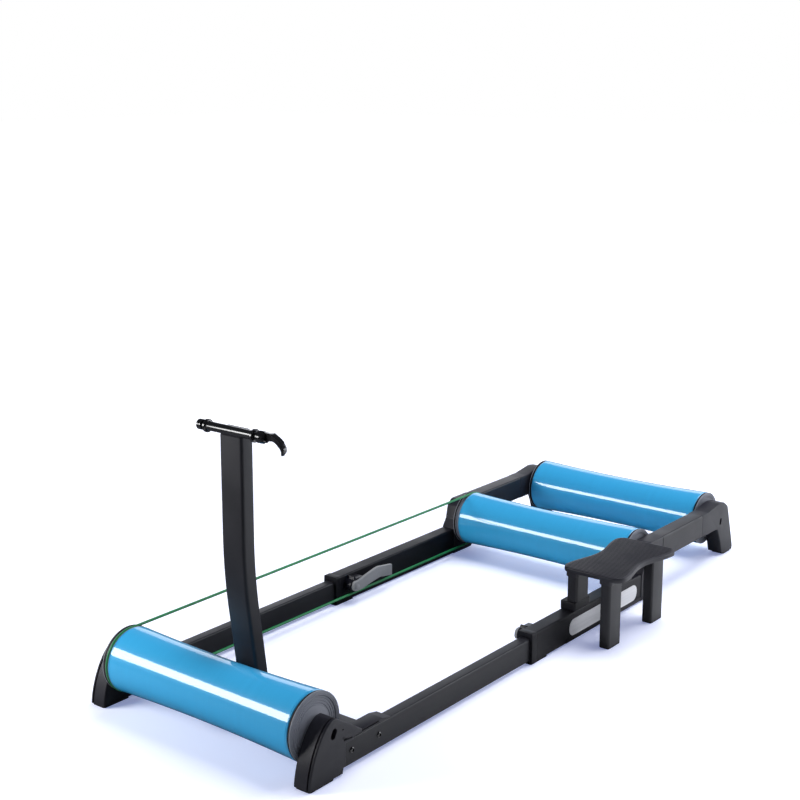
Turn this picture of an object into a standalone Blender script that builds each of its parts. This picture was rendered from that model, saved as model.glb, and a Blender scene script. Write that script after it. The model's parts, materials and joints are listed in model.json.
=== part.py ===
"""Bike trainer: three rollers in a telescoping floor frame, with a post that holds the fork.

Units are metres and +Z is up. Lengths run along Y: the front roller is at the low end of Y
and the pair that carries the rear wheel at the high end. X runs along the roller axles, and
the side at +X carries the step. Places are first worked out from the middle of the front
axle's floor line, and the empty named trainer then shifts all of it, so that the origin lies
on the floor under the middle of the whole object.
"""
import math

import bmesh
import bpy
from mathutils import Vector

# Clearances
FIT = 0.0003
ROLLER_GAP = 0.0015
BELT_GAP = 0.0005
BELT_PASS = 0.0035
CUT_PAST = 0.001

# Rollers, their caps and what they turn on
ROLLER_LENGTH = 0.381
ROLLER_END_RADIUS = 0.0525
ROLLER_WAIST_RADIUS = 0.0485
DRUM_WALL = 0.003
CAP_PLUG = 0.012
CAP_PLUG_WALL = 0.0035
CAP_WEB = 0.003
CAP_FLANGE = 0.0055
CAP_BEVEL = 0.0025
CAP_RIM = 0.0065
CAP_RECESS = 0.0012
CAP_HUB_RADIUS = 0.024
CAP_NOSE = 0.0025
CAP_NOSE_RADIUS = 0.017
PULLEY_WIDTH = 0.006
GROOVE_DEPTH = 0.0025
BELT_RADIUS = 0.0025
BEARING_RADIUS = 0.011
BEARING_WIDTH = 0.007
AXLE_RADIUS = 0.004
AXLE_GRIP = 0.0187
AXLE_CHAMFER = 0.0008
SHAFT_CLEARANCE = 0.001

# Where the axles lie
WHEELBASE = 0.9046
CRADLE = 0.2749
FRONT_AXLE_HEIGHT = 0.0705
MIDDLE_AXLE_HEIGHT = 0.0707
REAR_AXLE_HEIGHT = 0.0755

# Feet and uprights
FOOT_WIDTH = 0.031
FOOT_EDGE = 0.0025
FRONT_TOE = 0.051
FRONT_CROWN = 0.0215
FRONT_SOLE = 0.002
FRONT_HEEL = 0.021
FRONT_HEEL_HEIGHT = 0.012
FRONT_LOBE = 0.018
CROWN_ROUND = 0.006
HEEL_ROUND = 0.002
HEEL_STEP = 0.0024
TOE_BULGE = 1.6
TOE_ROUND = 0.62
REAR_CROWN = 0.0395
REAR_TOE = 0.0595
REAR_LEG = 0.044
REAR_HEAD = 0.0795
REAR_SHOULDER_ROUND = 0.020
REAR_CROWN_ROUND = 0.030
REAR_BACK_ROUND = 0.010
REAR_HEEL_ROUND = 0.003
REAR_ARCH_ROUND = 0.008
REAR_SOLE_STEP = 0.006
UPRIGHT_FRONT = 0.0426
UPRIGHT_REAR = 0.0354
UPRIGHT_ROUND = 0.012
UPRIGHT_UNDER_ROUND = 0.008
SPIGOT = 0.024
SLOT_RADIUS = 0.0037
SLOT_SPREAD = 0.0065

# Telescoping rails
RAIL_WIDTH = 0.020
RAIL_HEIGHT = 0.040
RAIL_WALL = 0.002
RAIL_CORNER = 0.002
INNER_CORNER = 0.0002
RAIL_BOTTOM = 0.0055
RAIL_START = 0.026
RAIL_OVERLAP = 0.250
SLEEVE_LENGTH = 0.3637
SLEEVE_WALL = 0.0037
SLEEVE_FLOOR = 0.0032
SLEEVE_ROOF = 0.0082
SLEEVE_CORNER = 0.0025
COLLAR_LENGTH = 0.014
COLLAR_RISE = 0.001
SLEEVE_PAD = 0.050
RAISED_BOTTOM = 0.062
RAISED_HEIGHT = 0.046
RAISED_WALL = 0.003

# Crossbar and what joins it to the rails
CROSSBAR_FRONT = 0.054
CROSSBAR_DEPTH = 0.036
CROSSBAR_HEIGHT = 0.0255
CROSSBAR_WALL = 0.0025
BRACKET_PLATE = 0.005
BRACKET_DROP = 0.034
BRACKET_LENGTH = 0.0687
BRACKET_TIP = 0.018
BRACKET_TIP_THICKNESS = 0.001
SCREW_RADIUS = 0.0026
SCREW_HEAD_RADIUS = 0.0048
SCREW_HEAD = 0.0022
SCREW_HEIGHT = 0.0276
SCREW_BITE = 0.0045
FRONT_SCREW = 0.0445
REAR_SCREW = 0.1047

# Post and fork mount
POST_WIDTH = 0.046
POST_DEPTH = 0.025
POST_WALL = 0.002
POST_CORNER = 0.005
POST_TOP = 0.452
POST_KNEE = 0.235
POST_KNEE_Y = 0.0543
POST_LEAN = math.radians(7.6)
POST_TILT = math.radians(0.6)
POST_BEND = 0.060
POST_BASE = 0.004
POST_BASE_WIDTH = 0.070
FORK_WIDTH = 0.100
FORK_TUBE_RADIUS = 0.007
FORK_TUBE_Y = 0.0466
FORK_SEAT_RADIUS = 0.010
FORK_SEAT = 0.004
SADDLE_WIDTH = 0.040
DROPOUT_GAP = 0.006
SKEWER_RADIUS = 0.0025
NUT_LENGTH = 0.012
NUT_RADIUS = 0.008
CAM_LENGTH = 0.0155
CAM_RADIUS = 0.009
CAM_SLOT = 0.006
CAM_EYE_RADIUS = 0.0055
CAM_PIVOT = 0.0095
LEVER_WIDTH = 0.010
LEVER_REACH = 0.045
LEVER_DROP = 0.021
LEVER_ROUND = 0.002
LEVER_BOW = 0.020
SADDLE_ROUND = 0.002

# Clamps that lock the rails in the sleeves
CLAMP_SETBACK = 0.0335
CLAMP_HEIGHT = 0.0345
CLAMP_BLOCK = 0.0170
BLOCK_EDGE = 0.0012
CLAMP_LEVER = 0.006
CLAMP_HUB_RADIUS = 0.0095
CLAMP_LEVER_LENGTH = 0.1025
CLAMP_LEVER_DEPTH = 0.024
CLAMP_SCREW_RADIUS = 0.003
CLAMP_HEAD_RADIUS = 0.0055
CLAMP_HEAD = 0.002
BLOCK_ROUND = 0.008
BLOCK_EAR_TIP = 0.0008
NOSE_STEPS = 10
LEVER_WAIST_ROUND = 0.020
LEVER_TIP_ROUND = 0.002

# Bare plate on the sleeve
LABEL_HEIGHT = 0.030
LABEL_THICKNESS = 0.0008
LABEL_SETBACK = 0.116
LABEL_REAR_MARGIN = 0.0167
LABEL_MIDDLE = 0.027

# Step
STEP_SETBACK = 0.1345
STEP_SPAN = 0.1875
STEP_LEG_WIDTH = 0.020
STEP_LEG_DEPTH = 0.040
STEP_LEG_WALL = 0.002
STEP_LEG_CORNER = 0.004
STEP_INNER_LEG = 0.006
STEP_REACH = 0.0659
STEP_SADDLE = 0.0155
STEP_SADDLE_MARGIN = 0.005
STEP_INNER_LENGTH = 0.054
PLATE_THICKNESS = 0.009
PLATE_LENGTH = 0.202
PLATE_END_WIDTH = 0.118
PLATE_WAIST_WIDTH = 0.090
PLATE_CORNER = 0.018
PLATE_EDGE = 0.0018
PLATE_OFFSET = 0.007

# How finely round shapes are cut
ROLLER_SIDES = 24
SMALL_SIDES = 12
BELT_SIDES = 8
CORNER_STEPS = 3
DRUM_STATIONS = 7
RIM_STEPS = 1
BEND_STEPS = 6
MERGE = 0.00001
SMOOTH_UP_TO = math.radians(35)

# Finishes: colour, roughness and metallic value
PAINTED = ((0.035, 0.035, 0.042), 0.42, 0.0)
MOULDED = ((0.030, 0.030, 0.036), 0.50, 0.0)
SLEEVE_BLACK = ((0.012, 0.012, 0.014), 0.45, 0.0)
DRUM_BLUE = ((0.035, 0.260, 0.600), 0.18, 0.0)
CAP_GREY = ((0.110, 0.110, 0.125), 0.45, 0.0)
STEEL = ((0.550, 0.550, 0.560), 0.30, 1.0)
BELT_GREEN = ((0.020, 0.160, 0.060), 0.45, 0.0)
LEVER_GREY = ((0.190, 0.210, 0.220), 0.45, 0.0)
LEVER_BLACK = ((0.010, 0.010, 0.010), 0.20, 0.0)
PLATE_SILVER = ((0.600, 0.600, 0.610), 0.35, 0.8)

# Places worked out from the sizes above
HALF_ROLLER = ROLLER_LENGTH / 2
CAP_FACE = CAP_FLANGE + CAP_NOSE
FOOT_INNER = HALF_ROLLER + CAP_FACE + ROLLER_GAP
FOOT_OUTER = FOOT_INNER + FOOT_WIDTH
SIDE_X = FOOT_INNER + FOOT_WIDTH / 2
MIDDLE_AXLE_Y = WHEELBASE
REAR_AXLE_Y = WHEELBASE + CRADLE
DRUM_BORE = ROLLER_WAIST_RADIUS - DRUM_WALL
GROOVE_RADIUS = ROLLER_END_RADIUS - GROOVE_DEPTH
BELT_LINE_RADIUS = GROOVE_RADIUS + BELT_GAP + BELT_RADIUS
BELT_X = -(HALF_ROLLER - PULLEY_WIDTH / 2 + FIT / 2)
RAIL_TOP = RAIL_BOTTOM + RAIL_HEIGHT
RAIL_INNER = SIDE_X - RAIL_WIDTH / 2
RAIL_OUTER = SIDE_X + RAIL_WIDTH / 2
SLEEVE_HALF = RAIL_WIDTH / 2 + FIT + SLEEVE_WALL
SLEEVE_BOTTOM = RAIL_BOTTOM - FIT - SLEEVE_FLOOR
SLEEVE_TOP = RAIL_TOP + FIT + SLEEVE_ROOF
SLEEVE_REAR = MIDDLE_AXLE_Y - UPRIGHT_FRONT - FIT
SLEEVE_FRONT = SLEEVE_REAR - SLEEVE_LENGTH
RAISED_TOP = RAISED_BOTTOM + RAISED_HEIGHT
FRONT_FOOT_TOP = FRONT_AXLE_HEIGHT + FRONT_CROWN
CROSSBAR_BOTTOM = FRONT_AXLE_HEIGHT - BELT_LINE_RADIUS + BELT_RADIUS + BELT_PASS
CROSSBAR_TOP = CROSSBAR_BOTTOM + CROSSBAR_HEIGHT
FORK_TUBE_HEIGHT = POST_TOP + FIT + FORK_TUBE_RADIUS
STEP_FRONT = SLEEVE_FRONT + STEP_SETBACK
STEP_MIDDLE_Y = STEP_FRONT + STEP_SPAN / 2
STEP_INNER_X = SIDE_X + STEP_INNER_LEG
STEP_OUTER_X = STEP_INNER_X + STEP_REACH
STEP_LEG_FOOT = SLEEVE_TOP + FIT + STEP_SADDLE + FIT
STEP_LEG_TOP = STEP_LEG_FOOT + STEP_INNER_LENGTH
PLATE_BOTTOM = STEP_LEG_TOP + FIT
PLATE_X = (STEP_INNER_X + STEP_OUTER_X) / 2 + PLATE_OFFSET
CLAMP_Y = SLEEVE_FRONT + CLAMP_SETBACK
CLAMP_FACE = SIDE_X - SLEEVE_HALF - FIT
X_LOW = -FOOT_OUTER
X_HIGH = PLATE_X + PLATE_END_WIDTH / 2
Y_LOW = -max(FRONT_TOE, BELT_LINE_RADIUS + BELT_RADIUS)
Y_HIGH = REAR_AXLE_Y + REAR_TOE


def clear_scene():
    """Remove what a new Blender file holds."""
    for item in list(bpy.data.objects):
        bpy.data.objects.remove(item, do_unlink=True)


def make_material(name, colour, roughness, metallic):
    """One Principled BSDF material with its colour, roughness and metallic value."""
    material = bpy.data.materials.new(name)
    material.use_nodes = True
    shader = material.node_tree.nodes["Principled BSDF"]
    shader.inputs["Base Color"].default_value = (*colour, 1.0)
    shader.inputs["Roughness"].default_value = roughness
    shader.inputs["Metallic"].default_value = metallic
    return material


def make_empty(name, location, parent):
    """An empty that stands on a joint's axis or carries one part of the frame."""
    empty = bpy.data.objects.new(name, None)
    bpy.context.scene.collection.objects.link(empty)
    empty.location = location
    empty.parent = parent
    return empty


def make_object(name, mesh_maker, location, parent, finish):
    """A named piece whose mesh is filled by mesh_maker, placed under its parent."""
    mesh = bpy.data.meshes.new(name)
    bm = bmesh.new()
    mesh_maker(bm)
    bmesh.ops.recalc_face_normals(bm, faces=bm.faces[:])
    bm.to_mesh(mesh)
    bm.free()
    mesh.shade_smooth()
    mesh.set_sharp_from_angle(angle=SMOOTH_UP_TO)
    piece = bpy.data.objects.new(name, mesh)
    bpy.context.scene.collection.objects.link(piece)
    piece.location = location
    piece.parent = parent
    colour, roughness, metallic = finish
    mesh.materials.append(make_material(name, colour, roughness, metallic))
    return piece


def round_corners(corners, steps=CORNER_STEPS):
    """The closed outline through corners (a, b, radius), with an arc at each corner."""
    outline = []
    for index, (a, b, radius) in enumerate(corners):
        here = Vector((a, b))
        if radius <= 0:
            outline.append(here)
            continue
        before = Vector(corners[index - 1][:2]) - here
        after = Vector(corners[(index + 1) % len(corners)][:2]) - here
        half_angle = before.angle(after) / 2
        reach = min(radius / math.tan(half_angle), before.length * 0.45, after.length * 0.45)
        start = here + before.normalized() * reach
        end = here + after.normalized() * reach
        middle = here + (before.normalized() + after.normalized()).normalized() * (
            reach / math.cos(half_angle))
        turn = (end - middle).angle_signed(start - middle)
        for step in range(steps + 1):
            angle = turn * step / steps
            spoke = start - middle
            outline.append(middle + Vector((
                spoke.x * math.cos(angle) - spoke.y * math.sin(angle),
                spoke.x * math.sin(angle) + spoke.y * math.cos(angle))))
    return outline


def box_corners(low_a, high_a, low_b, high_b, radius):
    """The corners of a rectangle, each with the same radius."""
    return [(low_a, low_b, radius), (high_a, low_b, radius),
            (high_a, high_b, radius), (low_a, high_b, radius)]


def on_axis(axis, along, point):
    """A point of an outline, put at the distance along the axis that the outline faces."""
    a, b = point
    return {"X": (along, a, b), "Y": (a, along, b), "Z": (a, b, along)}[axis]


def extrude_outline(bm, axis, outline, low, high, edge=0.0):
    """A solid with one outline along the axis; edge rounds the rims of its two end faces."""
    corners = [bm.verts.new(on_axis(axis, low, point)) for point in outline]
    face = bm.faces.new(corners)
    grown = bmesh.ops.extrude_face_region(bm, geom=[face])["geom"]
    moved = [item for item in grown if isinstance(item, bmesh.types.BMVert)]
    shift = Vector(on_axis(axis, high - low, (0.0, 0.0)))
    bmesh.ops.translate(bm, verts=moved, vec=shift)
    if edge:
        place = "XYZ".index(axis)
        rims = [item for item in bm.edges
                if abs(item.verts[0].co[place] - item.verts[1].co[place]) < FIT]
        bmesh.ops.bevel(bm, geom=rims, offset=edge, segments=RIM_STEPS, profile=0.5,
                        affect="EDGES", clamp_overlap=True)


def loft_rings(bm, rings, hollow):
    """Skin rings of equal point counts; a hollow loft comes back to its first ring."""
    made = [[bm.verts.new(point) for point in ring] for ring in rings]
    pairs = list(zip(made, made[1:]))
    if hollow:
        pairs.append((made[-1], made[0]))
    else:
        bm.faces.new(made[0])
        bm.faces.new(made[-1])
    for first, second in pairs:
        for index in range(len(first)):
            after = (index + 1) % len(first)
            bm.faces.new((first[index], first[after], second[after], second[index]))


def tube_rings(axis, outer, inner, low, high):
    """The four rings of a straight open tube."""
    return [[on_axis(axis, along, point) for point in outline]
            for along, outline in ((low, outer), (high, outer), (high, inner), (low, inner))]


def turn_profile(bm, profile, sides, closed=True):
    """Spin a profile of (along X, radius) about the X axis."""
    points = [bm.verts.new((along, 0.0, radius)) for along, radius in profile]
    last = len(points) if closed else len(points) - 1
    edges = [bm.edges.new((points[index], points[(index + 1) % len(points)]))
             for index in range(last)]
    bmesh.ops.spin(bm, geom=points + edges, cent=(0, 0, 0), axis=(1, 0, 0), dvec=(0, 0, 0),
                   angle=math.tau, steps=sides, use_merge=True, use_duplicate=False)
    bmesh.ops.remove_doubles(bm, verts=bm.verts[:], dist=MERGE)


def make_tool(name, mesh_maker, piece):
    """A hidden shape in the same place as the piece that it cuts or joins."""
    tool = make_object(name, mesh_maker, piece.location, piece.parent, PAINTED)
    tool.hide_render = True
    tool.display_type = "WIRE"
    return tool


def combine(piece, operation, mesh_maker):
    """Cut a shape from a piece, or join a shape to it."""
    count = len(piece.modifiers)
    tool = make_tool(f"{piece.name}_{operation.lower()}_{count}", mesh_maker, piece)
    step = piece.modifiers.new(tool.name, "BOOLEAN")
    step.operation = operation
    step.object = tool
    step.solver = "EXACT"


def cut_round(piece, radius, low, high, centre=(0.0, 0.0)):
    """Cut a round hole along X through a piece."""
    def fill(bm):
        rod = [(low, 0.0), (low, radius), (high, radius), (high, 0.0)]
        turn_profile(bm, rod, SMALL_SIDES, closed=False)
        bmesh.ops.translate(bm, verts=bm.verts[:], vec=(0.0, *centre))
    combine(piece, "DIFFERENCE", fill)


def drum_radius(along):
    """The drum is widest at its ends and narrows in a parabola to its waist."""
    share = (along / HALF_ROLLER) ** 2
    return ROLLER_WAIST_RADIUS + (ROLLER_END_RADIUS - ROLLER_WAIST_RADIUS) * share


def add_drum(name, parent, belted):
    """The shell of a roller; a belted one stops short of the groove at its left end."""
    left = -HALF_ROLLER + (PULLEY_WIDTH if belted else 0.0)
    run = HALF_ROLLER - left
    stations = [left + run * step / (DRUM_STATIONS - 1) for step in range(DRUM_STATIONS)]
    profile = [(along, drum_radius(along)) for along in stations]
    profile += [(HALF_ROLLER, DRUM_BORE), (left, DRUM_BORE)]
    make_object(name, lambda bm: turn_profile(bm, profile, ROLLER_SIDES), (0, 0, 0), parent,
                DRUM_BLUE)


def cap_profile(belted):
    """Half a section of an end cap: distance out from the drum's end, and radius."""
    plug = DRUM_BORE - FIT
    back = -PULLEY_WIDTH if belted else 0.0
    seat = BEARING_RADIUS + FIT
    shaft = AXLE_RADIUS + SHAFT_CLEARANCE
    profile = [(back - CAP_PLUG, plug), (back + FIT, plug)]
    if belted:
        profile += [(back + FIT, GROOVE_RADIUS), (FIT, GROOVE_RADIUS)]
    profile += [
        (FIT, ROLLER_END_RADIUS),
        (CAP_FLANGE - CAP_BEVEL, ROLLER_END_RADIUS),
        (CAP_FLANGE, ROLLER_END_RADIUS - CAP_BEVEL),
        (CAP_FLANGE, ROLLER_END_RADIUS - CAP_RIM),
        (CAP_FLANGE - CAP_RECESS, ROLLER_END_RADIUS - CAP_RIM - CAP_RECESS),
        (CAP_FLANGE - CAP_RECESS, CAP_HUB_RADIUS),
        (CAP_FACE, CAP_NOSE_RADIUS),
        (CAP_FACE, seat),
        (CAP_FACE - BEARING_WIDTH - FIT, seat),
        (CAP_FACE - BEARING_WIDTH - FIT, shaft),
        (back - CAP_WEB, shaft),
        (back - CAP_WEB, plug - CAP_PLUG_WALL),
        (back - CAP_PLUG, plug - CAP_PLUG_WALL),
    ]
    return profile


def add_cap(name, parent, side, belted):
    """An end cap at one end of a roller; side is -1 for left and 1 for right."""
    profile = [(side * (HALF_ROLLER + along), radius) for along, radius in cap_profile(belted)]
    make_object(name, lambda bm: turn_profile(bm, profile, ROLLER_SIDES), (0, 0, 0), parent,
                CAP_GREY)


def add_bearing(name, parent, side):
    """A ball bearing, as one ring, in the nose of an end cap."""
    outer = side * (HALF_ROLLER + CAP_FACE)
    inner = outer - side * BEARING_WIDTH
    bore = AXLE_RADIUS + FIT
    profile = [(inner, BEARING_RADIUS), (outer, BEARING_RADIUS), (outer, bore), (inner, bore)]
    make_object(name, lambda bm: turn_profile(bm, profile, SMALL_SIDES), (0, 0, 0), parent, STEEL)


def add_axle(name, location, parent):
    """The fixed rod that a roller turns on, held in the frame at both ends."""
    half = FOOT_INNER + AXLE_GRIP
    profile = [(-half, 0.0), (-half, AXLE_RADIUS - AXLE_CHAMFER),
               (-half + AXLE_CHAMFER, AXLE_RADIUS), (half - AXLE_CHAMFER, AXLE_RADIUS),
               (half, AXLE_RADIUS - AXLE_CHAMFER), (half, 0.0)]
    make_object(name, lambda bm: turn_profile(bm, profile, SMALL_SIDES, closed=False), location,
                parent, STEEL)


def add_roller(title, parent, belted):
    """One roller: its drum, its two caps and their bearings, about the parent's X axis."""
    add_drum(f"{title}_drum", parent, belted)
    for side, hand in ((-1, "left"), (1, "right")):
        add_cap(f"{title}_end_cap_{hand}", parent, side, belted and side < 0)
        add_bearing(f"{title}_bearing_{hand}", parent, side)


def add_belt(parent):
    """The round belt in the grooves of the front and middle rollers."""
    half_turn = ROLLER_SIDES // 2
    front = Vector((0.0, FRONT_AXLE_HEIGHT))
    middle = Vector((MIDDLE_AXLE_Y, MIDDLE_AXLE_HEIGHT))
    path = []
    for centre, start in ((front, math.pi / 2), (middle, -math.pi / 2)):
        for step in range(half_turn + 1):
            angle = start + math.pi * step / half_turn
            out = Vector((math.cos(angle), math.sin(angle)))
            path.append((centre + out * BELT_LINE_RADIUS, out))
    rings = []
    for point, out in path:
        ring = []
        for side in range(BELT_SIDES):
            angle = math.tau * side / BELT_SIDES
            lift = point + out * (BELT_RADIUS * math.cos(angle))
            ring.append((BELT_RADIUS * math.sin(angle), lift.x, lift.y))
        rings.append(ring)
    make_object("drive_belt", lambda bm: loft_rings(bm, rings, hollow=True), (BELT_X, 0, 0),
                parent, BELT_GREEN)


def cut_axle_seat(piece, side, centre, tilt):
    """The bore that grips an axle's end, and the slot in the outer face that shows it."""
    step = side * CUT_PAST
    floor = side * (FOOT_INNER + AXLE_GRIP + FIT)
    ends = sorted((side * FOOT_INNER - step, floor))
    cut_round(piece, AXLE_RADIUS + FIT, *ends, centre=centre)
    reach = SLOT_SPREAD / 2
    across = Vector((math.cos(tilt), math.sin(tilt)))
    over = Vector((-across.y, across.x)) * SLOT_RADIUS
    middle = Vector(centre)
    tips = [middle - across * (reach + SLOT_RADIUS) - over,
            middle + across * (reach + SLOT_RADIUS) - over,
            middle + across * (reach + SLOT_RADIUS) + over,
            middle - across * (reach + SLOT_RADIUS) + over]
    outline = round_corners([(tip.x, tip.y, SLOT_RADIUS) for tip in tips])
    low, high = sorted((floor - step, side * FOOT_OUTER + step))
    combine(piece, "DIFFERENCE", lambda bm: extrude_outline(bm, "X", outline, low, high))


def add_spigot(piece, side, low_y, high_y, width, bottom, top):
    """The plug of a foot or upright that goes into the end of a tube."""
    low, high = side * SIDE_X - width / 2, side * SIDE_X + width / 2
    outline = round_corners(box_corners(low_y, high_y, bottom, top, 0.0))
    combine(piece, "UNION", lambda bm: extrude_outline(bm, "X", outline, low, high))


def front_foot_outline():
    """Side view of a front foot: a toe curve, a crown over the axle and a lobe over the rail."""
    steps = 9
    toe = []
    for step in range(steps):
        rise = step / steps
        toe.append((-FRONT_TOE * (1 - rise ** TOE_BULGE) ** TOE_ROUND, FRONT_FOOT_TOP * rise, 0.0))
    rear = RAIL_START - FIT
    lobe = RAIL_START + FRONT_LOBE
    back = [
        (-0.05 * FRONT_TOE, FRONT_FOOT_TOP, CROWN_ROUND),
        (0.12 * FRONT_TOE, FRONT_FOOT_TOP, CROWN_ROUND),
        (0.9 * lobe, FRONT_AXLE_HEIGHT, CROWN_ROUND),
        (lobe, RAIL_TOP + FIT, 0.0),
        (rear, RAIL_TOP + FIT, 0.0),
        (rear, FRONT_HEEL_HEIGHT, 0.0),
        (FRONT_HEEL, FRONT_HEEL_HEIGHT, HEEL_ROUND),
        (FRONT_HEEL - HEEL_ROUND, HEEL_STEP, 0.0),
        (2 * FRONT_SOLE, HEEL_STEP, 0.0),
        (FRONT_SOLE, 0.0, 0.0),
    ]
    return round_corners(toe + back)


def add_front_foot(side, hand, parent):
    """A front foot: it carries the front axle and plugs into the rail behind it."""
    low, high = sorted((side * FOOT_INNER, side * FOOT_OUTER))
    outline = front_foot_outline()
    foot = make_object(f"front_foot_{hand}",
                       lambda bm: extrude_outline(bm, "X", outline, low, high, FOOT_EDGE),
                       (0, 0, 0), parent, MOULDED)
    inset = RAIL_WALL + FIT
    add_spigot(foot, side, RAIL_START - 2 * FIT, RAIL_START + 1.4 * SPIGOT,
               RAIL_WIDTH - 2 * inset, RAIL_BOTTOM + inset, RAIL_TOP - inset)
    cut_axle_seat(foot, side, (0.0, FRONT_AXLE_HEIGHT), math.radians(50))
    hole = sorted((side * RAIL_INNER, side * RAIL_OUTER))
    cut_round(foot, SCREW_RADIUS + FIT, *hole, centre=(FRONT_SCREW, SCREW_HEIGHT))


def add_front_rail(side, hand, parent):
    """The thin tube that slides in a sleeve, with holes for its two screws."""
    outer = round_corners(box_corners(-RAIL_WIDTH / 2, RAIL_WIDTH / 2, RAIL_BOTTOM, RAIL_TOP,
                                      RAIL_CORNER))
    inner = round_corners(box_corners(-RAIL_WIDTH / 2 + RAIL_WALL, RAIL_WIDTH / 2 - RAIL_WALL,
                                      RAIL_BOTTOM + RAIL_WALL, RAIL_TOP - RAIL_WALL,
                                      INNER_CORNER))
    rings = tube_rings("Y", outer, inner, RAIL_START, SLEEVE_FRONT + RAIL_OVERLAP)
    rail = make_object(f"front_rail_{hand}", lambda bm: loft_rings(bm, rings, hollow=True),
                       (side * SIDE_X, 0, 0), parent, PAINTED)
    for along in (FRONT_SCREW, REAR_SCREW):
        cut_round(rail, SCREW_RADIUS + FIT, -RAIL_WIDTH, RAIL_WIDTH, (along, SCREW_HEIGHT))


def add_bracket(side, hand, parent):
    """An angle that lies on the rail and fills the space between it and the crossbar."""
    inner = FOOT_INNER - 2 * FIT
    web = RAIL_INNER - FIT
    under = RAIL_TOP + FIT
    start = RAIL_START + FRONT_LOBE + FIT
    rings = []
    for along, rise in ((start, BRACKET_PLATE), (start + BRACKET_LENGTH, BRACKET_PLATE),
                        (start + BRACKET_LENGTH + BRACKET_TIP, BRACKET_TIP_THICKNESS)):
        outline = [(inner, under - BRACKET_DROP), (web, under - BRACKET_DROP), (web, under),
                   (RAIL_OUTER, under), (RAIL_OUTER, under + rise), (inner, under + rise)]
        rings.append([(side * a, along, b) for a, b in outline])
    bracket = make_object(f"crossbar_bracket_{hand}",
                          lambda bm: loft_rings(bm, rings, hollow=False), (0, 0, 0), parent,
                          MOULDED)
    hole = sorted((side * (inner - FIT), side * RAIL_INNER))
    cut_round(bracket, SCREW_RADIUS + FIT, *hole, centre=(REAR_SCREW, SCREW_HEIGHT))


def add_screw(name, side, along, length, parent):
    """A button-head screw through the side of a rail."""
    seat = RAIL_OUTER + FIT
    profile = [(seat + SCREW_HEAD, 0.0), (seat + SCREW_HEAD, SCREW_HEAD_RADIUS * 0.6),
               (seat + SCREW_HEAD * 0.5, SCREW_HEAD_RADIUS), (seat, SCREW_HEAD_RADIUS),
               (seat, SCREW_RADIUS), (seat - length, SCREW_RADIUS), (seat - length, 0.0)]
    turned = [(side * place, radius) for place, radius in profile]
    make_object(name, lambda bm: turn_profile(bm, turned, SMALL_SIDES, closed=False),
                (0, along, SCREW_HEIGHT), parent, LEVER_BLACK)


def add_crossbar(parent):
    """The tube between the two front rails."""
    half = FOOT_INNER - 3 * FIT
    low_y, high_y = CROSSBAR_FRONT, CROSSBAR_FRONT + CROSSBAR_DEPTH
    outer = round_corners(box_corners(low_y, high_y, CROSSBAR_BOTTOM, CROSSBAR_TOP, RAIL_CORNER))
    inner = round_corners(box_corners(low_y + CROSSBAR_WALL, high_y - CROSSBAR_WALL,
                                      CROSSBAR_BOTTOM + CROSSBAR_WALL,
                                      CROSSBAR_TOP - CROSSBAR_WALL, INNER_CORNER))
    rings = tube_rings("X", outer, inner, -half, half)
    make_object("crossbar", lambda bm: loft_rings(bm, rings, hollow=True), (0, 0, 0), parent,
                PAINTED)


def post_line(height):
    """Where the middle of the post lies at a height: it leans below the knee, then stands."""
    below = POST_KNEE_Y + (POST_KNEE - height) * math.tan(POST_LEAN)
    above = POST_KNEE_Y + (height - POST_KNEE) * math.tan(POST_TILT)
    if height <= POST_KNEE - POST_BEND:
        return below
    if height >= POST_KNEE + POST_BEND:
        return above
    share = (height - POST_KNEE + POST_BEND) / (2 * POST_BEND)
    start = POST_KNEE_Y + POST_BEND * math.tan(POST_LEAN)
    end = POST_KNEE_Y + POST_BEND * math.tan(POST_TILT)
    return start * (1 - share) ** 2 + 2 * POST_KNEE_Y * share * (1 - share) + end * share ** 2


def post_ring(height, wall):
    """One level ring of the post, in by its wall."""
    middle = post_line(height)
    outline = round_corners(box_corners(-POST_WIDTH / 2 + wall, POST_WIDTH / 2 - wall,
                                        middle - POST_DEPTH / 2 + wall,
                                        middle + POST_DEPTH / 2 - wall, POST_CORNER - wall))
    return [(point.x, point.y, height) for point in outline]


def add_post(parent):
    """The bent tube that carries the fork mount, open at its foot and closed at its top."""
    foot = CROSSBAR_TOP + FIT + POST_BASE + FIT
    bend = [POST_KNEE - POST_BEND + POST_BEND * 2 * step / BEND_STEPS
            for step in range(BEND_STEPS + 1)]
    levels = [foot, *bend, POST_TOP]
    rings = [post_ring(height, POST_WALL) for height in reversed(levels[:-1])]
    rings.insert(0, [(a, b, POST_TOP - POST_WALL) for a, b, _ in post_ring(POST_TOP, POST_WALL)])
    rings += [post_ring(height, 0.0) for height in levels]
    make_object("post", lambda bm: loft_rings(bm, rings, hollow=False), (0, 0, 0), parent,
                PAINTED)
    middle = post_line(foot)
    base = round_corners(box_corners(-POST_BASE_WIDTH / 2, POST_BASE_WIDTH / 2,
                                     CROSSBAR_FRONT, CROSSBAR_FRONT + CROSSBAR_DEPTH,
                                     POST_CORNER))
    low = CROSSBAR_TOP + FIT
    plate = make_object("post_base", lambda bm: extrude_outline(bm, "Z", base, low,
                                                                low + POST_BASE),
                        (0, 0, 0), parent, PAINTED)
    hole = round_corners(box_corners(-POST_WIDTH / 4, POST_WIDTH / 4, middle - POST_DEPTH / 4,
                                     middle + POST_DEPTH / 4, POST_WALL))
    combine(plate, "DIFFERENCE", lambda bm: extrude_outline(bm, "Z", hole, low - POST_BASE,
                                                            low + 2 * POST_BASE))


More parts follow.
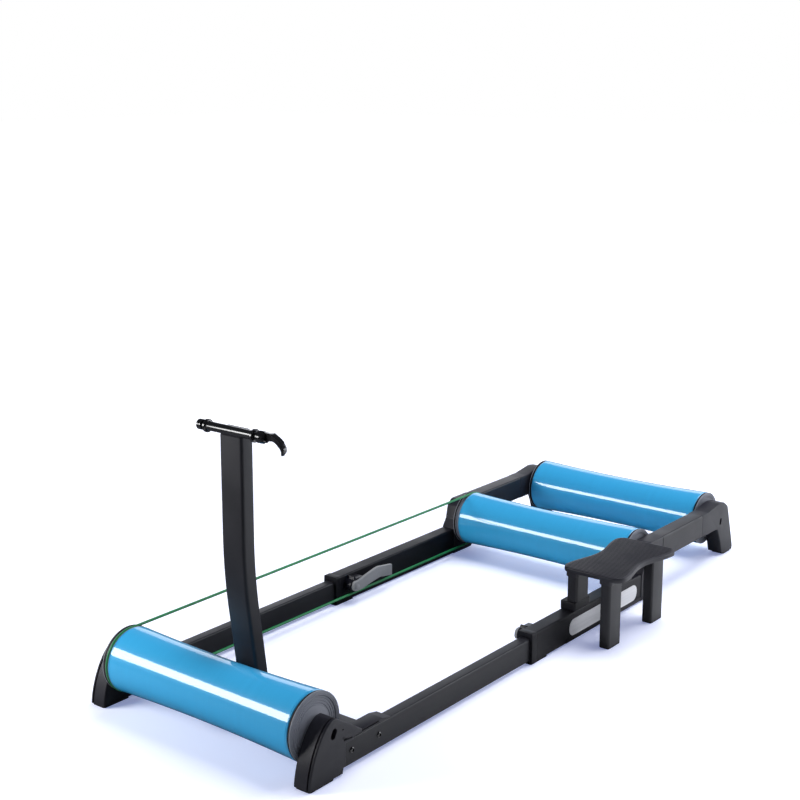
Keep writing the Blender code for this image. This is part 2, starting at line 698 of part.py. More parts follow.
def add_fork_saddle(parent):
    """The block on the post's top that holds the fork tube from behind and below."""
    around = FORK_TUBE_RADIUS + FIT
    arc = []
    for step in range(8):
        angle = math.radians(-72 + 15 * step)
        arc.append((FORK_TUBE_Y + around * math.cos(angle),
                    FORK_TUBE_HEIGHT + around * math.sin(angle), 0.0))
    rear = post_line(POST_TOP) + POST_DEPTH / 2 - POST_CORNER / 5
    seat = POST_TOP + FIT
    back = [(rear - POST_CORNER, FORK_TUBE_HEIGHT + 0.4 * FORK_TUBE_RADIUS, SADDLE_ROUND),
            (rear, FORK_TUBE_HEIGHT - 0.3 * FORK_TUBE_RADIUS, SADDLE_ROUND),
            (rear, seat, 0.0),
            (arc[0][0] + 2 * FIT, seat, 0.0)]
    outline = round_corners(arc + back)
    make_object("fork_tube_saddle",
                lambda bm: extrude_outline(bm, "X", outline, -SADDLE_WIDTH / 2, SADDLE_WIDTH / 2),
                (0, 0, 0), parent, PAINTED)


def add_fork_mount(parent, lever_parent):
    """The cross tube with its two seats, the skewer, its nut and its cam lever."""
    half = FORK_WIDTH / 2
    bore = SKEWER_RADIUS + FIT
    tube = [(-half, FORK_SEAT_RADIUS), (-half + FORK_SEAT, FORK_SEAT_RADIUS),
            (-half + FORK_SEAT, FORK_TUBE_RADIUS), (half - FORK_SEAT, FORK_TUBE_RADIUS),
            (half - FORK_SEAT, FORK_SEAT_RADIUS), (half, FORK_SEAT_RADIUS), (half, bore),
            (-half, bore)]
    place = (0, FORK_TUBE_Y, FORK_TUBE_HEIGHT)
    make_object("fork_tube", lambda bm: turn_profile(bm, tube, 24), place, parent, LEVER_BLACK)
    grip = half + DROPOUT_GAP + FIT
    nut = [(-grip, NUT_RADIUS), (-grip - 0.7 * NUT_LENGTH, NUT_RADIUS),
           (-grip - NUT_LENGTH, 0.6 * NUT_RADIUS), (-grip - NUT_LENGTH, bore), (-grip, bore)]
    make_object("skewer_nut", lambda bm: turn_profile(bm, nut, SMALL_SIDES), place, parent,
                LEVER_BLACK)
    tip = -grip - 0.9 * NUT_LENGTH
    rod = [(tip, 0.0), (tip, SKEWER_RADIUS), (grip, SKEWER_RADIUS), (grip, CAM_RADIUS),
           (grip + 0.8 * CAM_LENGTH, CAM_RADIUS), (grip + CAM_LENGTH, 0.75 * CAM_RADIUS),
           (grip + CAM_LENGTH, 0.0)]
    skewer = make_object("skewer", lambda bm: turn_profile(bm, rod, SMALL_SIDES, closed=False),
                         place, parent, STEEL)
    slot = round_corners(box_corners(grip + CAM_PIVOT - CAM_EYE_RADIUS - 2 * FIT,
                                     grip + 2 * CAM_LENGTH, -2 * CAM_RADIUS, 2 * CAM_RADIUS, 0.0))
    combine(skewer, "DIFFERENCE",
            lambda bm: extrude_outline(bm, "Y", slot, -CAM_SLOT / 2, CAM_SLOT / 2))
    neck = CAM_LENGTH - CAM_PIVOT + 1.2 * CAM_RADIUS
    eye = round_corners([(-CAM_EYE_RADIUS, -CAM_EYE_RADIUS, CAM_EYE_RADIUS),
                         (neck + LEVER_WIDTH / 4, -CAM_EYE_RADIUS * 0.6, 0.0),
                         (neck + LEVER_WIDTH / 4, CAM_EYE_RADIUS, 0.0),
                         (-CAM_EYE_RADIUS, CAM_EYE_RADIUS, CAM_EYE_RADIUS)])
    thin = CAM_SLOT / 2 - FIT
    lever = make_object("skewer_lever", lambda bm: extrude_outline(bm, "Y", eye, -thin, thin),
                        (0, 0, 0), lever_parent, LEVER_BLACK)
    blade = round_corners([(neck, -0.4 * LEVER_WIDTH, LEVER_ROUND / 2),
                           (neck, LEVER_WIDTH, LEVER_ROUND),
                           (0.45 * LEVER_REACH + neck / 4, 0.95 * LEVER_WIDTH, LEVER_BOW),
                           (LEVER_REACH, -0.45 * LEVER_DROP, 0.6 * LEVER_BOW),
                           (0.85 * LEVER_REACH, -LEVER_DROP, LEVER_ROUND),
                           (0.62 * LEVER_REACH, -0.36 * LEVER_DROP, LEVER_BOW)])
    combine(lever, "UNION", lambda bm: extrude_outline(bm, "Y", blade, -LEVER_WIDTH / 2,
                                                       LEVER_WIDTH / 2))


def sleeve_ring(along, half, bottom, top, corner):
    """One ring of a sleeve, across its length."""
    outline = round_corners(box_corners(-half, half, bottom, top, corner))
    return [(point.x, along, point.y) for point in outline]


def add_sleeve(side, hand, parent):
    """The outer tube that a front rail slides in, with a collar and a floor pad in front."""
    wide = SLEEVE_HALF + COLLAR_RISE
    collar = SLEEVE_FRONT + COLLAR_LENGTH
    pad = SLEEVE_FRONT + SLEEVE_PAD
    ease = COLLAR_RISE
    stations = [(SLEEVE_FRONT, wide, 0.0, SLEEVE_TOP + COLLAR_RISE),
                (collar, wide, 0.0, SLEEVE_TOP + COLLAR_RISE),
                (collar + ease, SLEEVE_HALF, 0.0, SLEEVE_TOP),
                (pad, SLEEVE_HALF, 0.0, SLEEVE_TOP),
                (pad + SLEEVE_BOTTOM, SLEEVE_HALF, SLEEVE_BOTTOM, SLEEVE_TOP),
                (SLEEVE_REAR, SLEEVE_HALF, SLEEVE_BOTTOM, SLEEVE_TOP)]
    rings = [sleeve_ring(*station, SLEEVE_CORNER) for station in stations]
    hole = (RAIL_WIDTH / 2 + FIT, RAIL_BOTTOM - FIT, RAIL_TOP + FIT, INNER_CORNER)
    rings += [sleeve_ring(SLEEVE_REAR, *hole), sleeve_ring(SLEEVE_FRONT, *hole)]
    sleeve = make_object(f"sleeve_{hand}", lambda bm: loft_rings(bm, rings, hollow=True),
                         (side * SIDE_X, 0, 0), parent, SLEEVE_BLACK)
    ends = sorted((-side * 2 * SLEEVE_HALF, 0.0))
    cut_round(sleeve, CLAMP_SCREW_RADIUS + FIT, *ends, centre=(CLAMP_Y, CLAMP_HEIGHT))


def clamp_block_outline():
    """Side view of a boss: a round nose about the screw, an ear over it and a low shoulder."""
    hub = 1.3 * CLAMP_HUB_RADIUS
    top = SLEEVE_TOP
    shoulder = CLAMP_HEIGHT + 1.16 * hub
    nose = []
    for step in range(NOSE_STEPS + 1):
        angle = math.radians(105 + 150 * step / NOSE_STEPS)
        nose.append((CLAMP_Y + hub * math.cos(angle), CLAMP_HEIGHT + hub * math.sin(angle), 0.0))
    return round_corners([
        (CLAMP_Y + hub, CLAMP_HEIGHT - hub, BLOCK_ROUND),
        (CLAMP_Y + 1.9 * hub, shoulder - 0.5 * hub, 0.75 * BLOCK_ROUND),
        (CLAMP_Y + 2.1 * hub, shoulder, 0.3 * BLOCK_ROUND),
        (CLAMP_Y + 0.35 * hub, shoulder, BLOCK_EAR_TIP),
        (CLAMP_Y - 0.05 * hub, top, BLOCK_EAR_TIP),
        (CLAMP_Y - 0.95 * hub, top, BLOCK_EAR_TIP)] + nose)


def add_clamp_block(side, hand, parent):
    """The boss on a sleeve's inner side that the clamp screw turns in."""
    low, high = sorted((side * CLAMP_FACE, side * (CLAMP_FACE - CLAMP_BLOCK + FIT)))
    outline = clamp_block_outline()
    block = make_object(f"clamp_block_{hand}",
                        lambda bm: extrude_outline(bm, "X", outline, low, high, BLOCK_EDGE),
                        (0, 0, 0), parent, SLEEVE_BLACK)
    cut_round(block, CLAMP_SCREW_RADIUS + FIT, low - FIT, high + FIT, (CLAMP_Y, CLAMP_HEIGHT))


def add_clamp(side, hand, parent):
    """A clamp screw and its lever, about the parent's X axis; the right lever is turned over."""
    outer = CLAMP_FACE - CLAMP_BLOCK
    inner = outer - CLAMP_LEVER
    reach = CLAMP_LEVER_LENGTH
    depth = CLAMP_LEVER_DEPTH
    hub = CLAMP_HUB_RADIUS
    outline = round_corners([
        (-hub, -hub, hub),
        (1.6 * hub, -hub, hub),
        (0.42 * reach, -0.18 * depth, LEVER_WAIST_ROUND),
        (0.66 * reach, -0.05 * depth, LEVER_WAIST_ROUND),
        (reach, -0.32 * depth, LEVER_TIP_ROUND),
        (reach, 0.60 * depth, LEVER_TIP_ROUND),
        (0.60 * reach, 0.86 * depth, LEVER_WAIST_ROUND),
        (0.34 * reach, 0.66 * depth, LEVER_WAIST_ROUND),
        (0.6 * hub, hub, hub / 2),
        (-hub, hub, hub)])
    outline = [(a, -side * b) for a, b in outline]
    low, high = sorted((side * outer, side * inner))
    lever = make_object(f"clamp_lever_{hand}",
                        lambda bm: extrude_outline(bm, "X", outline, low, high), (0, 0, 0),
                        parent, LEVER_GREY)
    cut_round(lever, CLAMP_SCREW_RADIUS + FIT, low - FIT, high + FIT)
    seat = inner - FIT
    tip = RAIL_INNER - FIT
    profile = [(seat - CLAMP_HEAD, 0.0), (seat - CLAMP_HEAD, 0.7 * CLAMP_HEAD_RADIUS),
               (seat - CLAMP_HEAD / 2, CLAMP_HEAD_RADIUS), (seat, CLAMP_HEAD_RADIUS),
               (seat, CLAMP_SCREW_RADIUS), (tip, CLAMP_SCREW_RADIUS), (tip, 0.0)]
    turned = [(side * place, radius) for place, radius in profile]
    make_object(f"clamp_screw_{hand}",
                lambda bm: turn_profile(bm, turned, SMALL_SIDES, closed=False), (0, 0, 0),
                parent, STEEL)


def upright_outline():
    """Side view of an upright: low at the sleeve, high behind the middle axle."""
    front = MIDDLE_AXLE_Y - UPRIGHT_FRONT
    rear = MIDDLE_AXLE_Y + UPRIGHT_REAR
    rise = RAISED_TOP - SLEEVE_TOP
    return round_corners([
        (front, SLEEVE_BOTTOM, 0.0),
        (front, SLEEVE_TOP, UPRIGHT_ROUND / 6),
        (MIDDLE_AXLE_Y - 0.75 * UPRIGHT_FRONT, SLEEVE_TOP + 0.3 * rise, UPRIGHT_ROUND),
        (MIDDLE_AXLE_Y - 0.60 * UPRIGHT_FRONT, SLEEVE_TOP + 0.8 * rise, UPRIGHT_ROUND),
        (MIDDLE_AXLE_Y - 0.30 * UPRIGHT_FRONT, RAISED_TOP, UPRIGHT_ROUND),
        (rear, RAISED_TOP, 0.0),
        (rear, RAISED_BOTTOM, 0.0),
        (MIDDLE_AXLE_Y + 0.75 * UPRIGHT_REAR, RAISED_BOTTOM, UPRIGHT_ROUND / 2),
        (MIDDLE_AXLE_Y + 0.55 * UPRIGHT_REAR, SLEEVE_BOTTOM, UPRIGHT_UNDER_ROUND)])


def add_upright(side, hand, parent):
    """The piece that lifts the frame from the sleeve to the raised rail at the middle axle."""
    low, high = sorted((side * FOOT_INNER, side * FOOT_OUTER))
    outline = upright_outline()
    upright = make_object(f"middle_upright_{hand}",
                          lambda bm: extrude_outline(bm, "X", outline, low, high, FOOT_EDGE),
                          (0, 0, 0), parent, MOULDED)
    front = MIDDLE_AXLE_Y - UPRIGHT_FRONT
    rear = MIDDLE_AXLE_Y + UPRIGHT_REAR
    add_spigot(upright, side, front - SPIGOT, front + FIT, RAIL_WIDTH, RAIL_BOTTOM, RAIL_TOP)
    inset = RAISED_WALL + FIT
    add_spigot(upright, side, rear - FIT, rear + SPIGOT, FOOT_WIDTH - 2 * inset,
               RAISED_BOTTOM + inset, RAISED_TOP - inset)
    cut_axle_seat(upright, side, (MIDDLE_AXLE_Y, MIDDLE_AXLE_HEIGHT), math.radians(78))


def add_raised_rail(side, hand, parent):
    """The tube beside the rear wheel's two rollers."""
    half = FOOT_WIDTH / 2
    outer = round_corners(box_corners(-half, half, RAISED_BOTTOM, RAISED_TOP, SLEEVE_CORNER))
    inner = round_corners(box_corners(-half + RAISED_WALL, half - RAISED_WALL,
                                      RAISED_BOTTOM + RAISED_WALL, RAISED_TOP - RAISED_WALL,
                                      INNER_CORNER))
    start = MIDDLE_AXLE_Y + UPRIGHT_REAR + FIT
    end = REAR_AXLE_Y - REAR_HEAD - FIT
    rings = tube_rings("Y", outer, inner, start, end)
    make_object(f"raised_rail_{hand}", lambda bm: loft_rings(bm, rings, hollow=True),
                (side * SIDE_X, 0, 0), parent, PAINTED)


def rear_foot_outline():
    """Side view of a rear foot: a head over the rear axle and a leg down to the floor."""
    head = REAR_AXLE_Y - REAR_HEAD
    top = REAR_AXLE_HEIGHT + REAR_CROWN
    heel = REAR_AXLE_Y + REAR_TOE
    leg = heel - REAR_LEG
    return round_corners([
        (head, RAISED_BOTTOM, 0.0),
        (head, RAISED_TOP, 0.0),
        (head + 0.3 * REAR_HEAD, RAISED_TOP, REAR_SHOULDER_ROUND),
        (REAR_AXLE_Y - 0.06 * REAR_HEAD, top, REAR_CROWN_ROUND),
        (REAR_AXLE_Y + 0.25 * REAR_TOE, top - 0.08 * REAR_CROWN, REAR_BACK_ROUND),
        (REAR_AXLE_Y + 0.52 * REAR_TOE, top - 0.36 * REAR_CROWN, REAR_BACK_ROUND),
        (heel, 0.12 * REAR_AXLE_HEIGHT, REAR_HEEL_ROUND),
        (heel - 0.04 * REAR_TOE, 0.0, HEEL_ROUND),
        (leg + REAR_SOLE_STEP, 0.0, 0.0),
        (leg - 0.67 * REAR_SOLE_STEP, REAR_SOLE_STEP, 0.0),
        (leg - 0.32 * REAR_LEG, 0.56 * RAISED_BOTTOM, REAR_ARCH_ROUND),
        (leg - 0.64 * REAR_LEG, RAISED_BOTTOM, 0.75 * REAR_ARCH_ROUND)])


def add_rear_foot(side, hand, parent):
    """A rear foot: it carries the rear axle and plugs into the raised rail."""
    low, high = sorted((side * FOOT_INNER, side * FOOT_OUTER))
    outline = rear_foot_outline()
    foot = make_object(f"rear_foot_{hand}",
                       lambda bm: extrude_outline(bm, "X", outline, low, high, FOOT_EDGE),
                       (0, 0, 0), parent, MOULDED)
    inset = RAISED_WALL + FIT
    head = REAR_AXLE_Y - REAR_HEAD
    add_spigot(foot, side, head - SPIGOT, head + FIT, FOOT_WIDTH - 2 * inset,
               RAISED_BOTTOM + inset, RAISED_TOP - inset)
    cut_axle_seat(foot, side, (REAR_AXLE_Y, REAR_AXLE_HEIGHT), math.radians(78))


def add_label(parent):
    """The bare plate with round ends on the outer side of the right sleeve."""
    start = SLEEVE_FRONT + LABEL_SETBACK
    end = SLEEVE_REAR - LABEL_REAR_MARGIN
    half = LABEL_HEIGHT / 2
    outline = round_corners(box_corners(start, end, LABEL_MIDDLE - half,
                                        LABEL_MIDDLE + half, half), steps=6)
    low = SIDE_X + SLEEVE_HALF + FIT
    make_object("side_plate", lambda bm: extrude_outline(bm, "X", outline, low,
                                                         low + LABEL_THICKNESS),
                (0, 0, 0), parent, PLATE_SILVER)


def add_step_leg(name, x, y, bottom, parent):
    """One tubular leg of the step; y is the middle of its depth."""
    wide, deep = STEP_LEG_WIDTH / 2, STEP_LEG_DEPTH / 2
    outer = round_corners(box_corners(-wide, wide, -deep, deep, STEP_LEG_CORNER))
    inner = round_corners(box_corners(-wide + STEP_LEG_WALL, wide - STEP_LEG_WALL,
                                      -deep + STEP_LEG_WALL, deep - STEP_LEG_WALL,
                                      STEP_LEG_CORNER / 2))
    rings = tube_rings("Z", outer, inner, bottom, STEP_LEG_TOP)
    make_object(name, lambda bm: loft_rings(bm, rings, hollow=True), (x, y, 0), parent, PAINTED)


def plate_outline():
    """The step's plate from above: two broad ends and a narrow waist."""
    reach = PLATE_LENGTH / 2 - PLATE_CORNER
    end, waist = PLATE_END_WIDTH / 2, PLATE_WAIST_WIDTH / 2
    stations = 12
    flank = []
    for step in range(stations + 1):
        share = 2 * step / stations - 1
        width = waist + (end - waist) * (1 - math.cos(math.pi * share)) / 2
        flank.append((width, reach * share))
    corner = []
    for step in range(1, 6):
        angle = math.radians(15 * step)
        corner.append((end - PLATE_CORNER * (1 - math.cos(angle)),
                       reach + PLATE_CORNER * math.sin(angle)))
    tip = (end - PLATE_CORNER, PLATE_LENGTH / 2)
    quarter = corner + [tip]
    right = [(a, -b) for a, b in reversed(quarter)] + flank + quarter
    left = [(-a, -b) for a, b in right]
    return right + left


def add_step(parent):
    """The step beside the right rail: a plate, two inner legs on saddles, two outer legs."""
    outline = plate_outline()
    top = PLATE_BOTTOM + PLATE_THICKNESS
    make_object("step_plate",
                lambda bm: extrude_outline(bm, "Z", outline, PLATE_BOTTOM, top, PLATE_EDGE),
                (PLATE_X, STEP_MIDDLE_Y, 0), parent, MOULDED)
    spread = (STEP_SPAN - STEP_LEG_DEPTH) / 2
    for end, along in (("front", -spread), ("rear", spread)):
        middle = STEP_MIDDLE_Y + along
        add_step_leg(f"step_outer_leg_{end}", STEP_OUTER_X, middle, 0.0, parent)
        add_step_leg(f"step_inner_leg_{end}", STEP_INNER_X, middle, STEP_LEG_FOOT, parent)
        half = STEP_LEG_DEPTH / 2 + STEP_SADDLE_MARGIN
        saddle = round_corners(box_corners(SIDE_X - SLEEVE_HALF,
                                           STEP_INNER_X + STEP_LEG_WIDTH / 2 + FIT,
                                           middle - half, middle + half, STEP_LEG_CORNER / 2))
        seat = SLEEVE_TOP + FIT
        make_object(f"step_saddle_{end}",
                    lambda bm: extrude_outline(bm, "Z", saddle, seat, seat + STEP_SADDLE,
                                               BLOCK_EDGE),
                    (0, 0, 0), parent, MOULDED)


def build():
    """Model the whole trainer."""
    clear_scene()
    trainer = make_empty("trainer", (-(X_LOW + X_HIGH) / 2, -(Y_LOW + Y_HIGH) / 2, 0), None)
    front_frame = make_empty("front_frame", (0, 0, 0), trainer)
    rear_frame = make_empty("rear_frame", (0, 0, 0), trainer)
    step = make_empty("step", (0, 0, 0), trainer)
    front_axle = (0, 0, FRONT_AXLE_HEIGHT)
    middle_axle = (0, MIDDLE_AXLE_Y, MIDDLE_AXLE_HEIGHT)
    rear_axle = (0, REAR_AXLE_Y, REAR_AXLE_HEIGHT)
    add_roller("front_roller", make_empty("front_roller_axis", front_axle, front_frame), True)
    add_roller("middle_roller", make_empty("middle_roller_axis", middle_axle, rear_frame), True)
    add_roller("rear_roller", make_empty("rear_roller_axis", rear_axle, rear_frame), False)
    add_axle("front_axle", front_axle, front_frame)
    add_axle("middle_axle", middle_axle, rear_frame)
    add_axle("rear_axle", rear_axle, rear_frame)
    add_belt(rear_frame)
    for side, hand in ((-1, "left"), (1, "right")):
        add_front_foot(side, hand, front_frame)
        add_front_rail(side, hand, front_frame)
        add_bracket(side, hand, front_frame)
        add_screw(f"rail_screw_front_{hand}", side, FRONT_SCREW, RAIL_WIDTH, front_frame)
        add_screw(f"rail_screw_rear_{hand}", side, REAR_SCREW, RAIL_WIDTH + SCREW_BITE,
                  front_frame)
        add_sleeve(side, hand, rear_frame)
        add_clamp_block(side, hand, rear_frame)
        pivot = make_empty(f"clamp_axis_{hand}", (0, CLAMP_Y, CLAMP_HEIGHT), rear_frame)
        add_clamp(side, hand, pivot)
        add_upright(side, hand, rear_frame)
        add_raised_rail(side, hand, rear_frame)
        add_rear_foot(side, hand, rear_frame)
    add_crossbar(front_frame)
    add_post(front_frame)
    add_fork_saddle(front_frame)
    cam = FORK_WIDTH / 2 + DROPOUT_GAP + FIT + CAM_PIVOT
    cam_axis = make_empty("cam_axis", (cam, FORK_TUBE_Y, FORK_TUBE_HEIGHT), front_frame)
    add_fork_mount(front_frame, cam_axis)
    add_label(rear_frame)
    add_step(step)


build()
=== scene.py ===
"""The looks of a roller trainer: three blue rollers in a telescoping black floor frame, with a
bent post that holds a fork at the front and a step beside the right rail.

Every piece is modelled here in metres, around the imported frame: its places come from the boxes
of the frame's nodes, and each sub-assembly's own sizes are fields of its class. Right is +X, the
side with the step, and the front, where the post stands, is at low Y.
"""

import json
import logging
import math
from collections.abc import Callable, Iterator, Sequence
from contextlib import contextmanager
from dataclasses import dataclass
from enum import Enum

import bmesh
import bpy
from mathutils import Matrix, Vector


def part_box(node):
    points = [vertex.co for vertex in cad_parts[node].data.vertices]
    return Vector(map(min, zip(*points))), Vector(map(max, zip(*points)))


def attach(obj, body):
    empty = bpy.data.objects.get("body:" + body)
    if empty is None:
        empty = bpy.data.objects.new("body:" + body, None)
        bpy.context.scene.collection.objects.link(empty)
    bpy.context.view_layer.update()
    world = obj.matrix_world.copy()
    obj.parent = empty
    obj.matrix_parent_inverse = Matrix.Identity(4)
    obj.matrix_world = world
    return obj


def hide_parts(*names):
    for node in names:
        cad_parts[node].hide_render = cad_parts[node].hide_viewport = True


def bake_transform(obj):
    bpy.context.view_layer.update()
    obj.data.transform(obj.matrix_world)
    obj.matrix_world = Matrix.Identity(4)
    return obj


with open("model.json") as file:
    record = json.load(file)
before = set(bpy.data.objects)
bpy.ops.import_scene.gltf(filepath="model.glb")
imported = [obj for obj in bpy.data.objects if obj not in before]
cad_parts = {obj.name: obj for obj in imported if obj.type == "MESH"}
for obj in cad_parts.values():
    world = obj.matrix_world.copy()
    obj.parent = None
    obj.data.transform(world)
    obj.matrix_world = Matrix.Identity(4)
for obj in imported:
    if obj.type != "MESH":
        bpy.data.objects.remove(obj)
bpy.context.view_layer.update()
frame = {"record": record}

log = logging.getLogger("trainer")

Point = tuple[float, float]
Corner = tuple[float, float, float]
Outline = list[Point]
Colour = tuple[float, float, float]

MERGE = 1e-5
SMOOTH_UP_TO = math.radians(32)
ROUND_SIDES = 96
SMALL_SIDES = 40
ARC_STEPS = 6
MOST_OF_SIDE = 0.45
GAP = 0.0003
PAST = 0.001


class Axis(Enum):
    """The direction in which an outline is extruded."""

    X = 0
    Y = 1
    Z = 2


class Side(Enum):
    """The two sides of the trainer."""

    LEFT = -1
    RIGHT = 1

    @property
    def word(self) -> str:
        """The side's name as the frame's nodes write it."""
        return self.name.lower()


class Slot(Enum):
    """The record's material slots."""

    FRAME_PAINT = "frame_paint"
    MOULDED_BLACK = "moulded_black"
    SLEEVE_BLACK = "sleeve_black"
    DRUM_BLUE = "drum_blue"
    CAP_GREY = "cap_grey"
    STEEL = "steel"
    BELT_GREEN = "belt_green"
    LEVER_GREY = "lever_grey"
    BLACK_METAL = "black_metal"
    PLATE_SILVER = "plate_silver"


@dataclass(frozen=True)
class Box:
    """The room that one node of the frame takes."""

    low: Vector
    high: Vector

    @classmethod
    def of(cls, node: str) -> "Box":
        """The box of a node, by its name."""
        return cls(*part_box(node))

    @property
    def middle(self) -> Vector:
        """The centre of the box."""
        return (self.low + self.high) / 2

    @property
    def size(self) -> Vector:
        """The lengths of the box along X, Y and Z."""
        return self.high - self.low

    def section(self, axis: Axis, grow: float = 0.0) -> tuple[float, ...]:
        """The bounds of the box in the two directions across an axis.

        Args:
            axis: The axis to look along.
            grow: How far the bounds are moved outwards.

        Returns:
            The low and the high bound of the one direction, then of the other.
        """
        bounds: list[float] = []
        for other in Axis:
            if other is not axis:
                bounds += [self.low[other.value] - grow, self.high[other.value] + grow]
        return tuple(bounds)

    def span(self, axis: Axis) -> Point:
        """The low and the high bound of the box along an axis."""
        return self.low[axis.value], self.high[axis.value]


MIDDLE_X = Box.of("front_axle").middle.x


def left_of(name: str) -> str:
    """The name that the left side has for what the right side names."""
    return name.replace(f"_{Side.RIGHT.word}", f"_{Side.LEFT.word}")


def body_of(node: str) -> str:
    """The body that carries a node of the frame.

    Args:
        node: The node's name.

    Returns:
        The name of the body that lists it.
    """
    bodies = frame["record"]["behaviour"]["bodies"]
    return next(body for body, nodes in bodies.items() if node in nodes)


# Outlines and profiles


def rounded(corners: Sequence[Corner], steps: int = ARC_STEPS) -> Outline:
    """A closed outline through corners, with an arc at each.

    Args:
        corners: Each corner's two coordinates and its radius.
        steps: How many chords an arc has.

    Returns:
        The points of the outline, in order.
    """
    outline: Outline = []
    for index, (a, b, radius) in enumerate(corners):
        here = Vector((a, b))
        if radius <= 0:
            outline.append((a, b))
            continue
        before = Vector(corners[index - 1][:2]) - here
        after = Vector(corners[(index + 1) % len(corners)][:2]) - here
        half_angle = before.angle(after) / 2
        reach = min(radius / math.tan(half_angle), before.length * MOST_OF_SIDE,
                    after.length * MOST_OF_SIDE)
        start = here + before.normalized() * reach
        end = here + after.normalized() * reach
        bisector = (before.normalized() + after.normalized()).normalized()
        middle = here + bisector * (reach / math.cos(half_angle))
        turn = (end - middle).angle_signed(start - middle)
        for step in range(steps + 1):
            spoke = Matrix.Rotation(turn * step / steps, 2) @ (start - middle)
            outline.append(tuple(middle + spoke))
    return outline


def rectangle(low_a: float, high_a: float, low_b: float, high_b: float,
              radius: float) -> Outline:
    """A rectangle with four equal round corners."""
    return rounded([(low_a, low_b, radius), (high_a, low_b, radius),
                    (high_a, high_b, radius), (low_a, high_b, radius)])


def arc(middle: Point, radius: float, start: float, sweep: float, steps: int) -> Outline:
    """Points along an arc, with both its ends.

    Args:
        middle: The arc's centre.
        radius: Its radius.
        start: The angle at which it starts, in radians.
        sweep: The angle that it covers.
        steps: How many chords it has.

    Returns:
        The points, in order.
    """
    return [(middle[0] + radius * math.cos(start + sweep * step / steps),
             middle[1] + radius * math.sin(start + sweep * step / steps))
            for step in range(steps + 1)]


def slot_outline(middle: Point, half_length: float, radius: float, tilt: float) -> Outline:
    """A slot with round ends.

    Args:
        middle: The slot's centre.
        half_length: From the centre to the middle of an end's arc.
        radius: Half the slot's width.
        tilt: The angle of its length from the first axis, in radians.

    Returns:
        The points of the slot's outline.
    """
    outline: Outline = []
    for facing in (tilt, tilt + math.pi):
        end = (middle[0] + half_length * math.cos(facing),
               middle[1] + half_length * math.sin(facing))
        outline += arc(end, radius, facing - math.pi / 2, math.pi, 2 * ARC_STEPS)
    return outline


def hollow_section(low_a: float, high_a: float, low_b: float, high_b: float, corner: float,
                   wall: float, inner_corner: float = 0.001) -> tuple[Outline, Outline]:
    """The outer and the inner outline of a rectangular tube.

    Args:
        low_a: Where the tube starts along the first axis.
        high_a: Where it ends along it.
        low_b: Where it starts along the second axis.
        high_b: Where it ends along it.
        corner: The radius of the outer corners.
        wall: The thickness of the tube's wall.
        inner_corner: The radius of the inner corners.

    Returns:
        The two outlines, with as many points each.
    """
    return (rectangle(low_a, high_a, low_b, high_b, corner),
            rectangle(low_a + wall, high_a - wall, low_b + wall, high_b - wall, inner_corner))


def ring_outline(middle: Point, radius: float, sides: int = SMALL_SIDES) -> Outline:
    """A circle, or with few sides a regular polygon."""
    return arc(middle, radius, 0.0, math.tau, sides)[:-1]


def dome_profile(rise: float, radius: float) -> Outline:
    """Half a section of a domed head, from its crown to its rim."""
    quarter = arc((0.0, 0.0), 1.0, 0.0, math.pi / 2, ARC_STEPS)
    return [(rise * (1 - along), radius * out) for along, out in quarter]


def on_axis(axis: Axis, along: float, point: Point) -> Vector:
    """A point of an outline, put at the distance along the axis that the outline faces."""
    place = list(point)
    place.insert(axis.value, along)
    return Vector(place)


# The bench


def deselect_all() -> None:
    """Leave nothing selected."""
    bpy.ops.object.select_all(action="DESELECT")


def take(piece: bpy.types.Object) -> None:
    """Select one object alone, and make it the active one."""
    deselect_all()
    piece.select_set(True)
    bpy.context.view_layer.objects.active = piece


@contextmanager
def editing(piece: bpy.types.Object, kind: str = "FACE") -> Iterator[None]:
    """Edit one piece, with nothing of it selected at first.

    Args:
        piece: The object to edit.
        kind: VERT, EDGE or FACE, what the selection is made of.
    """
    take(piece)
    bpy.ops.object.mode_set(mode="EDIT")
    bpy.ops.mesh.select_mode(type=kind)
    bpy.ops.mesh.select_all(action="DESELECT")
    yield
    bpy.ops.object.mode_set(mode="OBJECT")


def pick_all() -> None:
    """In edit mode, select everything."""
    bpy.ops.mesh.select_all(action="SELECT")


def face_out() -> None:
    """In edit mode, select all and turn every face outwards."""
    pick_all()
    bpy.ops.mesh.normals_make_consistent(inside=False)


def extrude(shift: Vector) -> None:
    """In edit mode, extrude what is selected by a vector."""
    bpy.ops.mesh.extrude_region_move(TRANSFORM_OT_translate={"value": shift})


